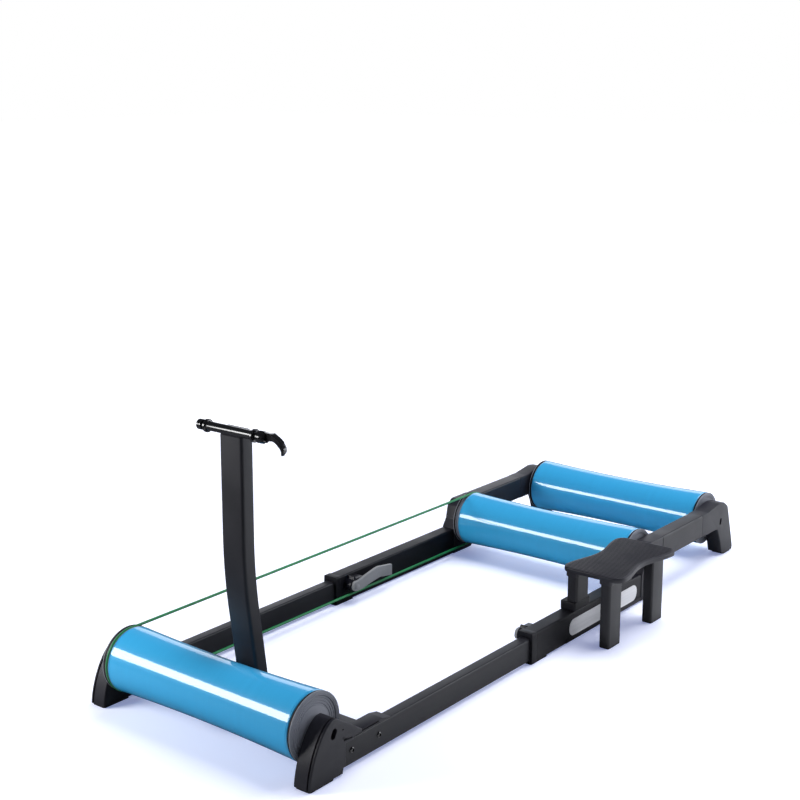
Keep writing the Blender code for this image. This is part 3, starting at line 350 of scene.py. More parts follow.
class Workpiece:
    """One piece on the bench, shaped with Blender's own operators."""

    def __init__(self, piece: bpy.types.Object) -> None:
        """Take an object in hand."""
        self.piece = piece

    @classmethod
    def traced(cls, name: str, corners: Sequence[Vector], fill: str = "NGON") -> "Workpiece":
        """A circle whose corners are put on points.

        Args:
            name: The piece's name.
            corners: The points, in order.
            fill: NGON for one face inside, or NOTHING for the edges alone.

        Returns:
            The new workpiece.
        """
        deselect_all()
        bpy.ops.mesh.primitive_circle_add(vertices=len(corners), fill_type=fill)
        made = cls(bpy.context.object)
        made.piece.name = name
        for corner, point in zip(made.piece.data.vertices, corners):
            corner.co = point
        return made

    @classmethod
    def slab(cls, name: str, axis: Axis, outline: Outline, low: float,
             high: float) -> "Workpiece":
        """A disc whose corners are put on an outline, extruded along an axis.

        Args:
            name: The piece's name.
            axis: The direction of the extrusion.
            outline: The side view, in the two other coordinates.
            low: Where the piece starts along the axis.
            high: Where it ends.

        Returns:
            The new workpiece.
        """
        made = cls.traced(name, [on_axis(axis, low, point) for point in outline])
        with editing(made.piece):
            pick_all()
            extrude(on_axis(axis, high - low, (0.0, 0.0)))
            face_out()
        return made

    @classmethod
    def tube(cls, name: str, axis: Axis, outer: Outline, inner: Outline, low: float,
             high: float) -> "Workpiece":
        """An open tube: two rings bridged to a wall, which is extruded along an axis.

        Args:
            name: The piece's name.
            axis: The direction of the extrusion.
            outer: The tube's outline.
            inner: The outline of its bore.
            low: Where the piece starts along the axis.
            high: Where it ends.

        Returns:
            The new workpiece.
        """
        made = cls.traced(name, [on_axis(axis, low, point) for point in outer], "NOTHING")
        with editing(made.piece, "EDGE"):
            bpy.ops.mesh.primitive_circle_add(vertices=len(inner), fill_type="NOTHING")
        for corner, point in zip(made.piece.data.vertices[len(outer):], inner):
            corner.co = on_axis(axis, low, point)
        with editing(made.piece, "EDGE"):
            pick_all()
            bpy.ops.mesh.bridge_edge_loops()
            pick_all()
            extrude(on_axis(axis, high - low, (0.0, 0.0)))
            face_out()
        return made

    @classmethod
    def turned(cls, name: str, profile: Sequence[Point], centre: Vector,
               sides: int = ROUND_SIDES) -> "Workpiece":
        """A closed half section, spun about a line along X.

        Args:
            name: The piece's name.
            profile: Points of (place along X from the centre, radius), in order.
            centre: A point on the line.
            sides: How many steps the turn has.

        Returns:
            The new workpiece.
        """
        made = cls.traced(name, [centre + Vector((along, 0.0, radius))
                                 for along, radius in profile], "NOTHING")
        with editing(made.piece, "VERT"):
            pick_all()
            bpy.ops.mesh.spin(steps=sides, angle=math.tau, center=centre, axis=(1, 0, 0))
            pick_all()
            bpy.ops.mesh.remove_doubles(threshold=MERGE)
            bpy.ops.mesh.delete_loose(use_verts=True, use_edges=True, use_faces=False)
            face_out()
        return made

    def pick_faces(self, test: Callable[[Vector, Vector], bool]) -> int:
        """In edit mode, select the faces whose centre and normal pass a test."""
        mesh = bmesh.from_edit_mesh(self.piece.data)
        picked = [face for face in mesh.faces if test(face.calc_center_median(), face.normal)]
        for face in picked:
            face.select_set(True)
        bmesh.update_edit_mesh(self.piece.data)
        return len(picked)

    def pick_edges(self, test: Callable[[Vector, Vector], bool]) -> int:
        """In edit mode, select the edges whose two ends pass a test."""
        mesh = bmesh.from_edit_mesh(self.piece.data)
        picked = [edge for edge in mesh.edges if test(edge.verts[0].co, edge.verts[1].co)]
        for edge in picked:
            edge.select_set(True)
        bmesh.update_edit_mesh(self.piece.data)
        return len(picked)

    def round_rims(self, axis: Axis, radius: float, segments: int = 3,
                   ends: Sequence[float] | None = None) -> "Workpiece":
        """Round the rims of the end faces of a slab or tube.

        Args:
            axis: The direction in which the piece was extruded.
            radius: The width of the rounding.
            segments: How many facets it has.
            ends: The places along the axis of the rims, or None for all of them.

        Returns:
            The workpiece.
        """
        def on_rim(one: Vector, other: Vector) -> bool:
            level = abs(one[axis.value] - other[axis.value]) < MERGE
            return level and (ends is None or any(
                abs(one[axis.value] - place) < MERGE for place in ends))

        with editing(self.piece, "EDGE"):
            self.pick_edges(on_rim)
            bpy.ops.mesh.bevel(offset=radius, segments=segments, profile=0.5, affect="EDGES",
                               clamp_overlap=True)
        return self

    def soften(self, width: float, segments: int = 2, angle: float = 30.0) -> "Workpiece":
        """Round every edge sharper than an angle in degrees, with a Bevel that is applied."""
        take(self.piece)
        bpy.ops.object.modifier_add(type="BEVEL")
        bevel = self.piece.modifiers[-1]
        bevel.width = width
        bevel.segments = segments
        bevel.limit_method = "ANGLE"
        bevel.angle_limit = math.radians(angle)
        bevel.use_clamp_overlap = True
        bpy.ops.object.modifier_apply(modifier=bevel.name)
        return self

    def combine(self, tool: "Workpiece", operation: str = "DIFFERENCE") -> "Workpiece":
        """Cut a tool from the piece, or join it, with a Boolean that is applied."""
        take(self.piece)
        bpy.ops.object.modifier_add(type="BOOLEAN")
        step = self.piece.modifiers[-1]
        step.operation = operation
        step.object = tool.piece
        step.solver = "EXACT"
        bpy.ops.object.modifier_apply(modifier=step.name)
        bpy.data.objects.remove(tool.piece, do_unlink=True)
        return self

    def cut(self, axis: Axis, outline: Outline, low: float, high: float) -> "Workpiece":
        """Cut a hole or a recess with a tool that is extruded along an axis.

        Args:
            axis: The direction of the extrusion.
            outline: The tool's outline.
            low: Where the tool starts along the axis.
            high: Where it ends.

        Returns:
            The workpiece.
        """
        return self.combine(Workpiece.slab("cutter", axis, outline, low, high))

    def join(self, *others: "Workpiece") -> "Workpiece":
        """Make one object of several workpieces, as separate shells of it."""
        deselect_all()
        for other in (self, *others):
            other.piece.select_set(True)
        bpy.context.view_layer.objects.active = self.piece
        bpy.ops.object.join()
        return self

    def mirrored(self) -> "Workpiece":
        """A copy for the left side, with its own mesh mirrored in the trainer's middle plane.

        Returns:
            The copy, named for the left side.
        """
        take(self.piece)
        bpy.ops.object.duplicate(linked=False)
        made = Workpiece(bpy.context.object)
        made.piece.name = left_of(self.piece.name)
        with editing(made.piece):
            pick_all()
            bpy.ops.transform.resize(value=(-1, 1, 1), center_override=(MIDDLE_X, 0, 0))
            bpy.ops.mesh.normals_make_consistent(inside=False)
        return made

    def finish(self, finish: "Finish", *nodes: str, rides_with: str = "") -> bpy.types.Object:
        """Dress the piece and put it on its body.

        Args:
            finish: What its surface is like.
            nodes: The nodes of the frame that it stands for, if any.
            rides_with: A node whose body carries it, where it stands for none.

        Returns:
            The finished object.
        """
        take(self.piece)
        bpy.ops.object.shade_smooth_by_angle(angle=SMOOTH_UP_TO)
        self.piece.data.materials.clear()
        self.piece.data.materials.append(finish.material())
        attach(self.piece, body_of(nodes[0] if nodes else rides_with))
        if nodes:
            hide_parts(*nodes)
        return self.piece

    def finish_pair(self, finish: "Finish", node: str) -> None:
        """Dress the piece for a node of the right side, and its mirror image for the left.

        Args:
            finish: What their surface is like.
            node: The node of the right side; the left side's is named after it.
        """
        left = self.mirrored()
        self.finish(finish, node)
        left.finish(finish, left_of(node))


# Shader node groups


class Sketch:
    """Adds nodes to one node tree and links them."""

    def __init__(self, tree: bpy.types.NodeTree) -> None:
        """Work on a tree."""
        self.tree = tree

    def node(self, kind: str, settings: dict[str, object] | None = None,
             **inputs: object) -> bpy.types.Node:
        """Add a node.

        Args:
            kind: The node's type, without its ShaderNode prefix.
            settings: Properties of the node.
            inputs: Values or sockets for its inputs. An underscore stands for a space, and
                a name such as in0 is the input at that place.

        Returns:
            The new node.
        """
        made = self.tree.nodes.new(f"ShaderNode{kind}")
        for name, value in (settings or {}).items():
            setattr(made, name, value)
        for name, value in inputs.items():
            numbered = name[:2] == "in" and name[2:].isdigit()
            socket = made.inputs[int(name[2:]) if numbered else name.replace("_", " ")]
            if isinstance(value, bpy.types.NodeSocket):
                self.link(value, socket)
            else:
                socket.default_value = value
        return made

    def link(self, one: bpy.types.NodeSocket, other: bpy.types.NodeSocket) -> None:
        """Link an output to an input."""
        self.tree.links.new(one, other)

    def math(self, operation: str, *values: object) -> bpy.types.NodeSocket:
        """Add a Math node and give its result."""
        named = {f"in{place}": value for place, value in enumerate(values)}
        return self.node("Math", {"operation": operation}, **named).outputs[0]

    def ranged(self, value: object, low: float, high: float, to_low: float,
               to_high: float) -> bpy.types.NodeSocket:
        """Map a value from one range to another, smoothly and within its ends."""
        made = self.node("MapRange", {"interpolation_type": "SMOOTHSTEP"}, in0=value, in1=low,
                         in2=high, in3=to_low, in4=to_high)
        return made.outputs[0]

    def mixed(self, share: object, one: object, other: object) -> bpy.types.NodeSocket:
        """Mix two colours."""
        made = self.node("Mix", {"data_type": "RGBA"}, in0=share, in6=one, in7=other)
        return made.outputs[2]


class Group(Sketch):
    """The inside of a node group, whose inputs are a Vector and plain numbers."""

    def __init__(self, name: str, inputs: dict[str, float], outputs: Sequence[str]) -> None:
        """Start the group.

        Args:
            name: The group's name.
            inputs: The names of its number inputs, with what each is if not set.
            outputs: The names of its outputs.
        """
        super().__init__(bpy.data.node_groups.new(name, "ShaderNodeTree"))
        sockets = self.tree.interface
        sockets.new_socket(name="Vector", in_out="INPUT", socket_type="NodeSocketVector")
        for word, value in inputs.items():
            sockets.new_socket(name=word, in_out="INPUT",
                               socket_type="NodeSocketFloat").default_value = value
        for word in outputs:
            sockets.new_socket(name=word, in_out="OUTPUT", socket_type="NodeSocketFloat")
        self.given = self.tree.nodes.new("NodeGroupInput").outputs
        self.result = self.tree.nodes.new("NodeGroupOutput").inputs

    def give(self, **results: bpy.types.NodeSocket) -> bpy.types.NodeTree:
        """Link the group's outputs by their names, and hand over its tree."""
        for word, socket in results.items():
            self.link(socket, self.result[word])
        return self.tree


class Effect(Enum):
    """The effects that several materials share, each a shader node group."""

    GRAIN = "moulded_grain"
    MOTTLE = "uneven_tone"
    EDGE_WEAR = "edge_wear"
    DUST = "settled_dust"
    TURNING = "turning_lines"
    BRUSHING = "brushed_lines"

    def tree(self) -> bpy.types.NodeTree:
        """The group's node tree, built when it is first asked for."""
        found = bpy.data.node_groups.get(self.value)
        return found or {Effect.GRAIN: build_grain, Effect.MOTTLE: build_mottle,
                         Effect.EDGE_WEAR: build_edge_wear, Effect.DUST: build_dust,
                         Effect.TURNING: build_turning,
                         Effect.BRUSHING: build_brushing}[self](self.value)


def build_grain(name: str) -> bpy.types.NodeTree:
    """The fine cells of a moulded or powder coated surface, as a height."""
    sketch = Group(name, {"Scale": 600.0}, ["Height"])
    place, scale = sketch.given["Vector"], sketch.given["Scale"]
    cells = sketch.node("TexVoronoi", {"feature": "SMOOTH_F1"}, Vector=place, Scale=scale,
                        Smoothness=0.6)
    fine = sketch.node("TexNoise", None, Vector=place, Scale=sketch.math("MULTIPLY", scale, 1.7),
                       Detail=2.0)
    height = sketch.math("MULTIPLY_ADD", cells.outputs["Distance"], 0.6,
                         sketch.math("MULTIPLY", fine.outputs["Fac"], 0.5))
    return sketch.give(Height=height)


def build_mottle(name: str) -> bpy.types.NodeTree:
    """A slow change of tone over a surface, from 0 to 1."""
    sketch = Group(name, {"Scale": 12.0}, ["Tone"])
    broad = sketch.node("TexNoise", None, Vector=sketch.given["Vector"],
                        Scale=sketch.given["Scale"], Detail=4.0, Roughness=0.55)
    return sketch.give(Tone=sketch.ranged(broad.outputs["Fac"], 0.3, 0.7, 0.0, 1.0))


def build_edge_wear(name: str) -> bpy.types.NodeTree:
    """Where an edge has been rubbed: 1 on its crest and 0 away from it."""
    sketch = Group(name, {"Radius": 0.001, "Breaks": 60.0}, ["Mask"])
    bent = sketch.node("Bevel", {"samples": 4}, Radius=sketch.given["Radius"])
    straight = sketch.node("NewGeometry")
    match = sketch.node("VectorMath", {"operation": "DOT_PRODUCT"},
                        in0=bent.outputs["Normal"], in1=straight.outputs["Normal"])
    crest = sketch.ranged(match.outputs["Value"], 0.995, 0.86, 0.0, 1.0)
    breaks = sketch.node("TexNoise", None, Vector=sketch.given["Vector"],
                         Scale=sketch.given["Breaks"], Detail=3.0)
    worn = sketch.ranged(breaks.outputs["Fac"], 0.35, 0.7, 0.15, 1.0)
    return sketch.give(Mask=sketch.math("MULTIPLY", crest, worn))


def build_dust(name: str) -> bpy.types.NodeTree:
    """Fine dust on what faces up, thinner where it has been brushed off."""
    sketch = Group(name, {"Scale": 25.0}, ["Mask"])
    facing = sketch.node("SeparateXYZ", None,
                         Vector=sketch.node("TexCoord").outputs["Normal"])
    upward = sketch.ranged(facing.outputs["Z"], 0.5, 1.0, 0.0, 1.0)
    cloud = sketch.node("TexNoise", None, Vector=sketch.given["Vector"],
                        Scale=sketch.given["Scale"], Detail=6.0, Roughness=0.65)
    speck = sketch.node("TexNoise", None, Vector=sketch.given["Vector"], Scale=900.0)
    cover = sketch.math("MULTIPLY", sketch.ranged(cloud.outputs["Fac"], 0.4, 0.75, 0.1, 1.0),
                        sketch.ranged(speck.outputs["Fac"], 0.35, 0.65, 0.3, 1.0))
    return sketch.give(Mask=sketch.math("MULTIPLY", upward, cover))


def build_turning(name: str) -> bpy.types.NodeTree:
    """Fine rings about the X axis of the vector, as a lathe leaves them."""
    sketch = Group(name, {"Pitch": 900.0}, ["Height", "Tone"])
    parts = sketch.node("SeparateXYZ", None, Vector=sketch.given["Vector"])
    squares = [sketch.math("POWER", parts.outputs[word], 2.0) for word in "YZ"]
    radius = sketch.math("SQRT", sketch.math("ADD", *squares))
    along = sketch.math("ADD", parts.outputs["X"], radius)
    lines = sketch.node("TexNoise", {"noise_dimensions": "1D"}, W=along,
                        Scale=sketch.given["Pitch"], Detail=2.0)
    bands = sketch.node("TexNoise", {"noise_dimensions": "1D"}, W=along,
                        Scale=sketch.math("MULTIPLY", sketch.given["Pitch"], 0.2))
    return sketch.give(Height=lines.outputs["Fac"], Tone=bands.outputs["Fac"])


def build_brushing(name: str) -> bpy.types.NodeTree:
    """Straight scratches along Y, as on a brushed plate."""
    sketch = Group(name, {"Pitch": 1500.0}, ["Height", "Tone"])
    drawn = sketch.node("Mapping", None, Vector=sketch.given["Vector"], Scale=(1.0, 0.02, 1.0))
    lines = sketch.node("TexNoise", None, Vector=drawn.outputs["Vector"],
                        Scale=sketch.given["Pitch"], Detail=2.0)
    tone = sketch.node("TexNoise", None, Vector=drawn.outputs["Vector"],
                       Scale=sketch.math("MULTIPLY", sketch.given["Pitch"], 0.25))
    return sketch.give(Height=lines.outputs["Fac"], Tone=tone.outputs["Fac"])


# Finishes


@dataclass(frozen=True)
class Finish:
    """A surface with a slow change of tone, a fine grain, rubbed edges and settled dust."""

    name: str
    slot: Slot
    colour: Colour
    roughness: float
    metallic: float = 0.0
    specular: float = 0.5
    coat: float = 0.0
    coat_roughness: float = 0.05
    coat_index: float = 1.5
    smoother: float = 0.04
    rougher: float = 0.05
    tone: float = 0.12
    mottle_scale: float = 14.0
    grain_scale: float = 700.0
    grain_depth: float = 0.00004
    wear: float = 0.25
    wear_colour: Colour = (0.16, 0.16, 0.17)
    wear_radius: float = 0.0009
    wear_breaks: float = 70.0
    dust: float = 0.06
    dust_scale: float = 22.0
    dust_colour: Colour = (0.45, 0.44, 0.42)
    centre: tuple[float, float, float] = (0.0, 0.0, 0.0)

    def material(self) -> bpy.types.Material:
        """The finish's material, built when it is first asked for."""
        found = bpy.data.materials.get(self.name)
        if found:
            return found
        made = bpy.data.materials.new(self.name)
        made.use_nodes = True
        made.node_tree.nodes.clear()
        self.paint(Sketch(made.node_tree))
        made.diffuse_color = (*self.colour, 1.0)
        return made

    def effect(self, sketch: Sketch, effect: Effect, place: bpy.types.NodeSocket,
               **inputs: float) -> bpy.types.Node:
        """Place one of the shared effects in the material."""
        made = sketch.tree.nodes.new("ShaderNodeGroup")
        made.node_tree = effect.tree()
        sketch.link(place, made.inputs["Vector"])
        for word, value in inputs.items():
            made.inputs[word].default_value = value
        return made

    def place(self, sketch: Sketch) -> bpy.types.NodeSocket:
        """Object coordinates, moved so that the finish's centre is their origin."""
        moved = sketch.node("Mapping", None, Vector=sketch.node("TexCoord").outputs["Object"],
                            Location=tuple(-value for value in self.centre))
        return moved.outputs["Vector"]

    def texture(self, sketch: Sketch,
                place: bpy.types.NodeSocket) -> tuple[bpy.types.NodeSocket, ...]:
        """The height that the bump reads, and the tone from 0 to 1 that colours the surface."""
        grain = self.effect(sketch, Effect.GRAIN, place, Scale=self.grain_scale)
        mottle = self.effect(sketch, Effect.MOTTLE, place, Scale=self.mottle_scale)
        return grain.outputs["Height"], mottle.outputs["Tone"]

    def paint(self, sketch: Sketch) -> None:
        """Build the material's nodes."""
        place = self.place(sketch)
        height, tone = self.texture(sketch, place)
        worn = self.effect(sketch, Effect.EDGE_WEAR, place, Radius=self.wear_radius,
                           Breaks=self.wear_breaks)
        dust = self.effect(sketch, Effect.DUST, place, Scale=self.dust_scale)
        dark = tuple(value * (1 - self.tone) for value in self.colour)
        light = tuple(min(1.0, value * (1 + self.tone)) for value in self.colour)
        base = sketch.mixed(tone, (*dark, 1.0), (*light, 1.0))
        rubbed = sketch.mixed(sketch.math("MULTIPLY", worn.outputs["Mask"], self.wear), base,
                              (*self.wear_colour, 1.0))
        dusty = sketch.mixed(sketch.math("MULTIPLY", dust.outputs["Mask"], self.dust), rubbed,
                             (*self.dust_colour, 1.0))
        smooth = sketch.ranged(tone, 0.0, 1.0, self.roughness - self.smoother,
                               self.roughness + self.rougher)
        rough = sketch.math("MULTIPLY_ADD", dust.outputs["Mask"], self.dust, smooth)
        bump = sketch.node("Bump", None, Height=height, Distance=self.grain_depth, Strength=1.0)
        shader = sketch.node("BsdfPrincipled", None, Base_Color=dusty, Roughness=rough,
                             Metallic=self.metallic, Normal=bump.outputs["Normal"])
        shader.inputs["Specular IOR Level"].default_value = self.specular
        shader.inputs["Coat Weight"].default_value = self.coat
        shader.inputs["Coat Roughness"].default_value = self.coat_roughness
        shader.inputs["Coat IOR"].default_value = self.coat_index
        output = sketch.node("OutputMaterial")
        sketch.link(shader.outputs["BSDF"], output.inputs["Surface"])


@dataclass(frozen=True)
class TurnedFinish(Finish):
    """A surface with the fine rings that turning leaves."""

    pitch: float = 900.0

    def texture(self, sketch: Sketch,
                place: bpy.types.NodeSocket) -> tuple[bpy.types.NodeSocket, ...]:
        """The lathe's rings, and their uneven tone."""
        rings = self.effect(sketch, Effect.TURNING, place, Pitch=self.pitch)
        return rings.outputs["Height"], rings.outputs["Tone"]


@dataclass(frozen=True)
class BrushedFinish(Finish):
    """A surface with straight brushed lines along Y."""

    pitch: float = 1500.0

    def texture(self, sketch: Sketch,
                place: bpy.types.NodeSocket) -> tuple[bpy.types.NodeSocket, ...]:
        """The brushed lines, and their uneven tone."""
        lines = self.effect(sketch, Effect.BRUSHING, place, Pitch=self.pitch)
        return lines.outputs["Height"], lines.outputs["Tone"]


FRAME_PAINT = Finish("satin_frame_paint", Slot.FRAME_PAINT, (0.015, 0.015, 0.019), 0.42,
                     specular=0.35, grain_scale=420.0, grain_depth=0.00003, wear=0.08, dust=0.03)
MOULDED_BLACK = Finish("moulded_black_plastic", Slot.MOULDED_BLACK, (0.014, 0.014, 0.020), 0.48,
                       specular=0.42, grain_scale=800.0, grain_depth=0.00006, wear=0.06,
                       dust=0.03)
RUBBER = Finish("black_rubber", Slot.MOULDED_BLACK, (0.008, 0.008, 0.009), 0.66, specular=0.35,
                grain_scale=900.0, grain_depth=0.00008, wear=0.05, dust=0.05)
SLEEVE_BLACK = Finish("sleeve_black_plastic", Slot.SLEEVE_BLACK, (0.006, 0.006, 0.009), 0.44,
                      specular=0.26, grain_scale=700.0, grain_depth=0.00005, wear=0.06, dust=0.03)
STEEL = TurnedFinish("turned_steel", Slot.STEEL, (0.42, 0.42, 0.43), 0.32, metallic=1.0,
                     wear=0.0, dust=0.0, grain_depth=0.00002, pitch=1800.0)
BELT_GREEN = Finish("green_belt", Slot.BELT_GREEN, (0.013, 0.180, 0.058), 0.42,
                    grain_scale=500.0, grain_depth=0.00003, wear=0.0, dust=0.0)
LEVER_GREY = Finish("grey_lever_plastic", Slot.LEVER_GREY, (0.20, 0.205, 0.215), 0.48,
                    grain_scale=700.0, grain_depth=0.00004, wear=0.15,
                    wear_colour=(0.35, 0.35, 0.36))
GLOSS_BLACK = Finish("polished_black_metal", Slot.BLACK_METAL, (0.005, 0.005, 0.006), 0.20,
                     coat=0.6, grain_depth=0.000008, wear=0.10, dust=0.0)
CLAMP_BLACK = Finish("clamp_black_plastic", Slot.SLEEVE_BLACK, (0.006, 0.006, 0.010), 0.30,
                     specular=0.4, grain_depth=0.00001, wear=0.05, dust=0.0)
PLATE_SILVER = BrushedFinish("brushed_silver_plate", Slot.PLATE_SILVER, (0.82, 0.82, 0.84), 0.36,
                             metallic=0.35, wear=0.0, dust=0.0, grain_depth=0.00002)


# Sub-assemblies


@dataclass
class Roller:
    """One roller: a blue drum that narrows to its waist, two grey caps and their bearings."""

    title: str
    waist_drop: float = 0.004
    stations: int = 40
    sides: int = 128
    wall: float = 0.003
    bead: float = 0.0034
    bead_groove: float = 0.0004
    seal: float = 0.0046
    seal_drop: float = 0.0004
    seal_gap: float = 0.0002
    seal_turn: float = 0.0006
    groove_floor: float = 0.0038
    plug_depth: float = 0.012
    rim: float = 0.0065
    rim_rings: tuple[float, ...] = (0.36, 0.76)
    face_rings: tuple[float, ...] = (0.0415, 0.0375, 0.0335)
    ring_half: float = 0.0006
    ring_depth: float = 0.0007
    ease: float = 0.0004
    dish: float = 0.0014
    hub_radius: float = 0.024
    hub_slope: float = 0.004
    nose_radius: float = 0.017
    bearing_width: float = 0.007
    shield_depth: float = 0.0006
    race: float = 0.0018
    race_slope: float = 0.0002
    clip_width: float = 0.0008
    clip_share: float = 0.8
    axle_slot_depth: float = 0.0012
    axle_slot_half: float = 0.0006

    def __post_init__(self) -> None:
        """Read the roller's places from the frame."""
        self.drum = Box.of(f"{self.title}_drum")
        self.cap = Box.of(f"{self.title}_end_cap_right")
        self.ball = Box.of(f"{self.title}_bearing_right")
        self.radius = self.drum.size.z / 2
        self.centre = Vector((MIDDLE_X, self.drum.middle.y, self.drum.high.z - self.radius))
        self.half = self.drum.high.x - MIDDLE_X
        self.pulley = self.half - (MIDDLE_X - self.drum.low.x)
        self.face = self.cap.high.x - self.drum.high.x
        self.drum_blue = TurnedFinish(
            f"{self.title}_blue_drum", Slot.DRUM_BLUE, (0.036, 0.345, 0.640), 0.34,
            specular=0.2, coat=1.0, coat_roughness=0.06, coat_index=1.6, tone=0.03,
            grain_depth=0.000002, wear=0.0, dust=0.0, centre=tuple(self.centre), pitch=500.0)
        self.cap_grey = TurnedFinish(
            f"{self.title}_grey_cap", Slot.CAP_GREY, (0.215, 0.225, 0.260), 0.5, tone=0.1,
            grain_depth=0.00003, wear=0.15, wear_colour=(0.4, 0.4, 0.42), dust=0.02,
            centre=tuple(self.centre), pitch=700.0)

    def skin(self, along: float) -> float:
        """The drum's radius at a distance from its middle."""
        share = (along / self.half) ** 2
        return self.radius - self.waist_drop * (1 - share)

    def build_drum(self) -> None:
        """The shell of the drum, with a bead and a fine groove at each end."""
        left = -self.half + self.pulley
        right = self.half
        edge = [(0.0, -3 * self.bead_groove), (0.25, -0.5 * self.bead_groove), (0.45, 0.0),
                (0.66, 0.0), (0.74, -self.bead_groove), (0.86, -self.bead_groove), (1.0, 0.0)]
        profile = [(left + share * self.bead, self.skin(left + share * self.bead) + drop)
                   for share, drop in edge]
        run = right - left - 2 * self.bead
        profile += [(place, self.skin(place)) for place in (
            left + self.bead + run * step / self.stations for step in range(1, self.stations))]
        profile += [(right - share * self.bead, self.skin(right - share * self.bead) + drop)
                    for share, drop in reversed(edge)]
        bore = self.radius - self.waist_drop - self.wall
        profile += [(right, bore), (left, bore)]
        drum = Workpiece.turned(f"drum_of_{self.title}", profile, self.centre, self.sides)
        drum.finish(self.drum_blue, f"{self.title}_drum")

    def face_grooves(self, level: float) -> Outline:
        """The section of the fine rings in the dished face of a cap."""
        section: Outline = []
        half = self.ring_half
        for ring in self.face_rings:
            section += [(level, ring + half), (level - half, ring + half / 3),
                        (level - half, ring - half / 3), (level, ring - half)]
        return section

    def cap_profile(self, pulley: float) -> Outline:
        """Half a section of a cap: distance out from the drum's end, and radius."""
        rim, ease = self.radius, self.ease
        plug = self.radius - self.waist_drop - self.wall - GAP
        flat, shallow = self.face - self.dish * 1.8, self.dish * 0.3
        seat = self.ball.size.z / 2 + GAP
        neck = rim - self.groove_floor - 0.001
        profile = [(-pulley - self.plug_depth, plug), (-pulley + GAP, plug)]
        if pulley:
            middle = -pulley / 2 + GAP
            half = pulley / 2
            profile += [(-pulley + GAP, rim - 1.5 * ease)]
            profile += [(middle - half * 0.9 * along, rim - ease - self.groove_floor * depth)
                        for along, depth in arc((0.0, 0.0), 1.0, 0.0, math.pi, 8)]
            profile += [(ease, rim - ease)]
        else:
            profile += [(GAP, neck)]
        seal_end = GAP + self.seal
        profile += [(seal_end, neck), (seal_end, rim - ease), (seal_end + ease, rim),
                    (flat - 3 * ease, rim), (flat - ease, rim - 0.75 * ease),
                    (flat, rim - 3 * ease)]
        for share in self.rim_rings:
            ring = rim - self.rim * share
            half, floor = self.ring_half, flat - self.ring_depth
            profile += [(flat, ring + half), (floor, ring + half / 2), (floor, ring - half / 2),
                        (flat, ring - half)]
        profile += [
            (flat, rim - self.rim), (flat - self.dish, rim - self.rim - self.dish),
            *self.face_grooves(flat - self.dish),
            (flat - self.dish, self.hub_radius + 1.5 * self.hub_slope),
            (flat - shallow, self.hub_radius + self.hub_slope),
            (flat - shallow, self.hub_radius),
            (self.face - 1.5 * ease, self.nose_radius),
            (self.face, self.nose_radius - 2 * ease), (self.face, seat),
            (self.face - self.bearing_width - GAP, seat),
            (self.face - self.bearing_width - GAP, seat * 0.5),
            (-pulley - self.wall, seat * 0.5), (-pulley - self.wall, plug - self.wall),
            (-pulley - self.plug_depth, plug - self.wall)]
        return profile

    def turned_end(self, word: str, side: Side, profile: Outline,
                   sides: int = ROUND_SIDES) -> Workpiece:
        """Turn a piece of one end.

        Args:
            word: What the piece is.
            side: The end that it is for.
            profile: Its half section: distance out from the drum's end, and radius.
            sides: How many steps the turn has.

        Returns:
            The new workpiece.
        """
        placed = [(side.value * (self.half + along), radius) for along, radius in profile]
        return Workpiece.turned(f"{word}_{side.word}_of_{self.title}", placed, self.centre, sides)

    def build_ends(self) -> None:
        """A cap, a black seal ring and a bearing at each end."""
        for side in Side:
            pulley = self.pulley if side is Side.LEFT else 0.0
            cap = self.turned_end("cap", side, self.cap_profile(pulley))
            cap.finish(self.cap_grey, f"{self.title}_end_cap_{side.word}")
            inner, outer = GAP + self.seal_gap, self.seal + GAP - self.seal_gap
            crown = self.radius - self.seal_drop
            low = self.radius - self.groove_floor - 2 * self.ease
            turn = self.seal_turn
            ring = [(inner, low), (inner, crown - turn), (inner + turn, crown),
                    (outer - turn, crown), (outer, crown - turn), (outer, low)]
            seal = self.turned_end("seal", side, ring)
            seal.finish(RUBBER, rides_with=f"{self.title}_drum")
            self.build_bearing(side)

    def build_bearing(self, side: Side) -> None:
        """A shielded ball bearing in the nose of a cap, as one turned ring."""
        outer = self.ball.size.z / 2
        bore = Box.of("front_axle").size.z / 2 + GAP
        face, shield = self.face, self.face - self.shield_depth
        race, slope, ease = self.race, self.race_slope, self.ease
        section = [(face - self.bearing_width, bore), (face - self.bearing_width, outer),
                   (face - 1.25 * ease, outer), (face, outer - 1.25 * ease),
                   (face, outer - race + slope), (shield, outer - race),
                   (shield, bore + race + slope), (face, bore + race), (face, bore + ease),
                   (face - ease, bore)]
        ring = self.turned_end("bearing", side, section, SMALL_SIDES)
        ring.finish(STEEL, f"{self.title}_bearing_{side.word}")

    def build_axle(self, node: str) -> None:
        """The fixed rod, with clip grooves beside the caps and a screwdriver slot in each end."""
        rod = Box.of(node)
        radius = rod.size.z / 2
        half = rod.size.x / 2
        groove, floor = self.half + self.face + 2 * GAP, radius * self.clip_share
        clip = self.clip_width
        right = [(groove, radius), (groove, floor), (groove + clip, floor),
                 (groove + clip, radius), (half - clip, radius), (half, radius - clip),
                 (half, 0.0)]
        profile = [(-along, rise) for along, rise in reversed(right)] + right
        axle = Workpiece.turned(f"rod_of_{node}", profile, self.centre, SMALL_SIDES)
        for side in Side:
            ends = sorted((side.value * (half - self.axle_slot_depth),
                           side.value * (half + PAST)))
            slot = rectangle(self.centre.y - rod.size.z, self.centre.y + rod.size.z,
                             self.centre.z - self.axle_slot_half,
                             self.centre.z + self.axle_slot_half, 0.0001)
            axle.cut(Axis.X, slot, MIDDLE_X + ends[0], MIDDLE_X + ends[1])
        axle.finish(STEEL, node)

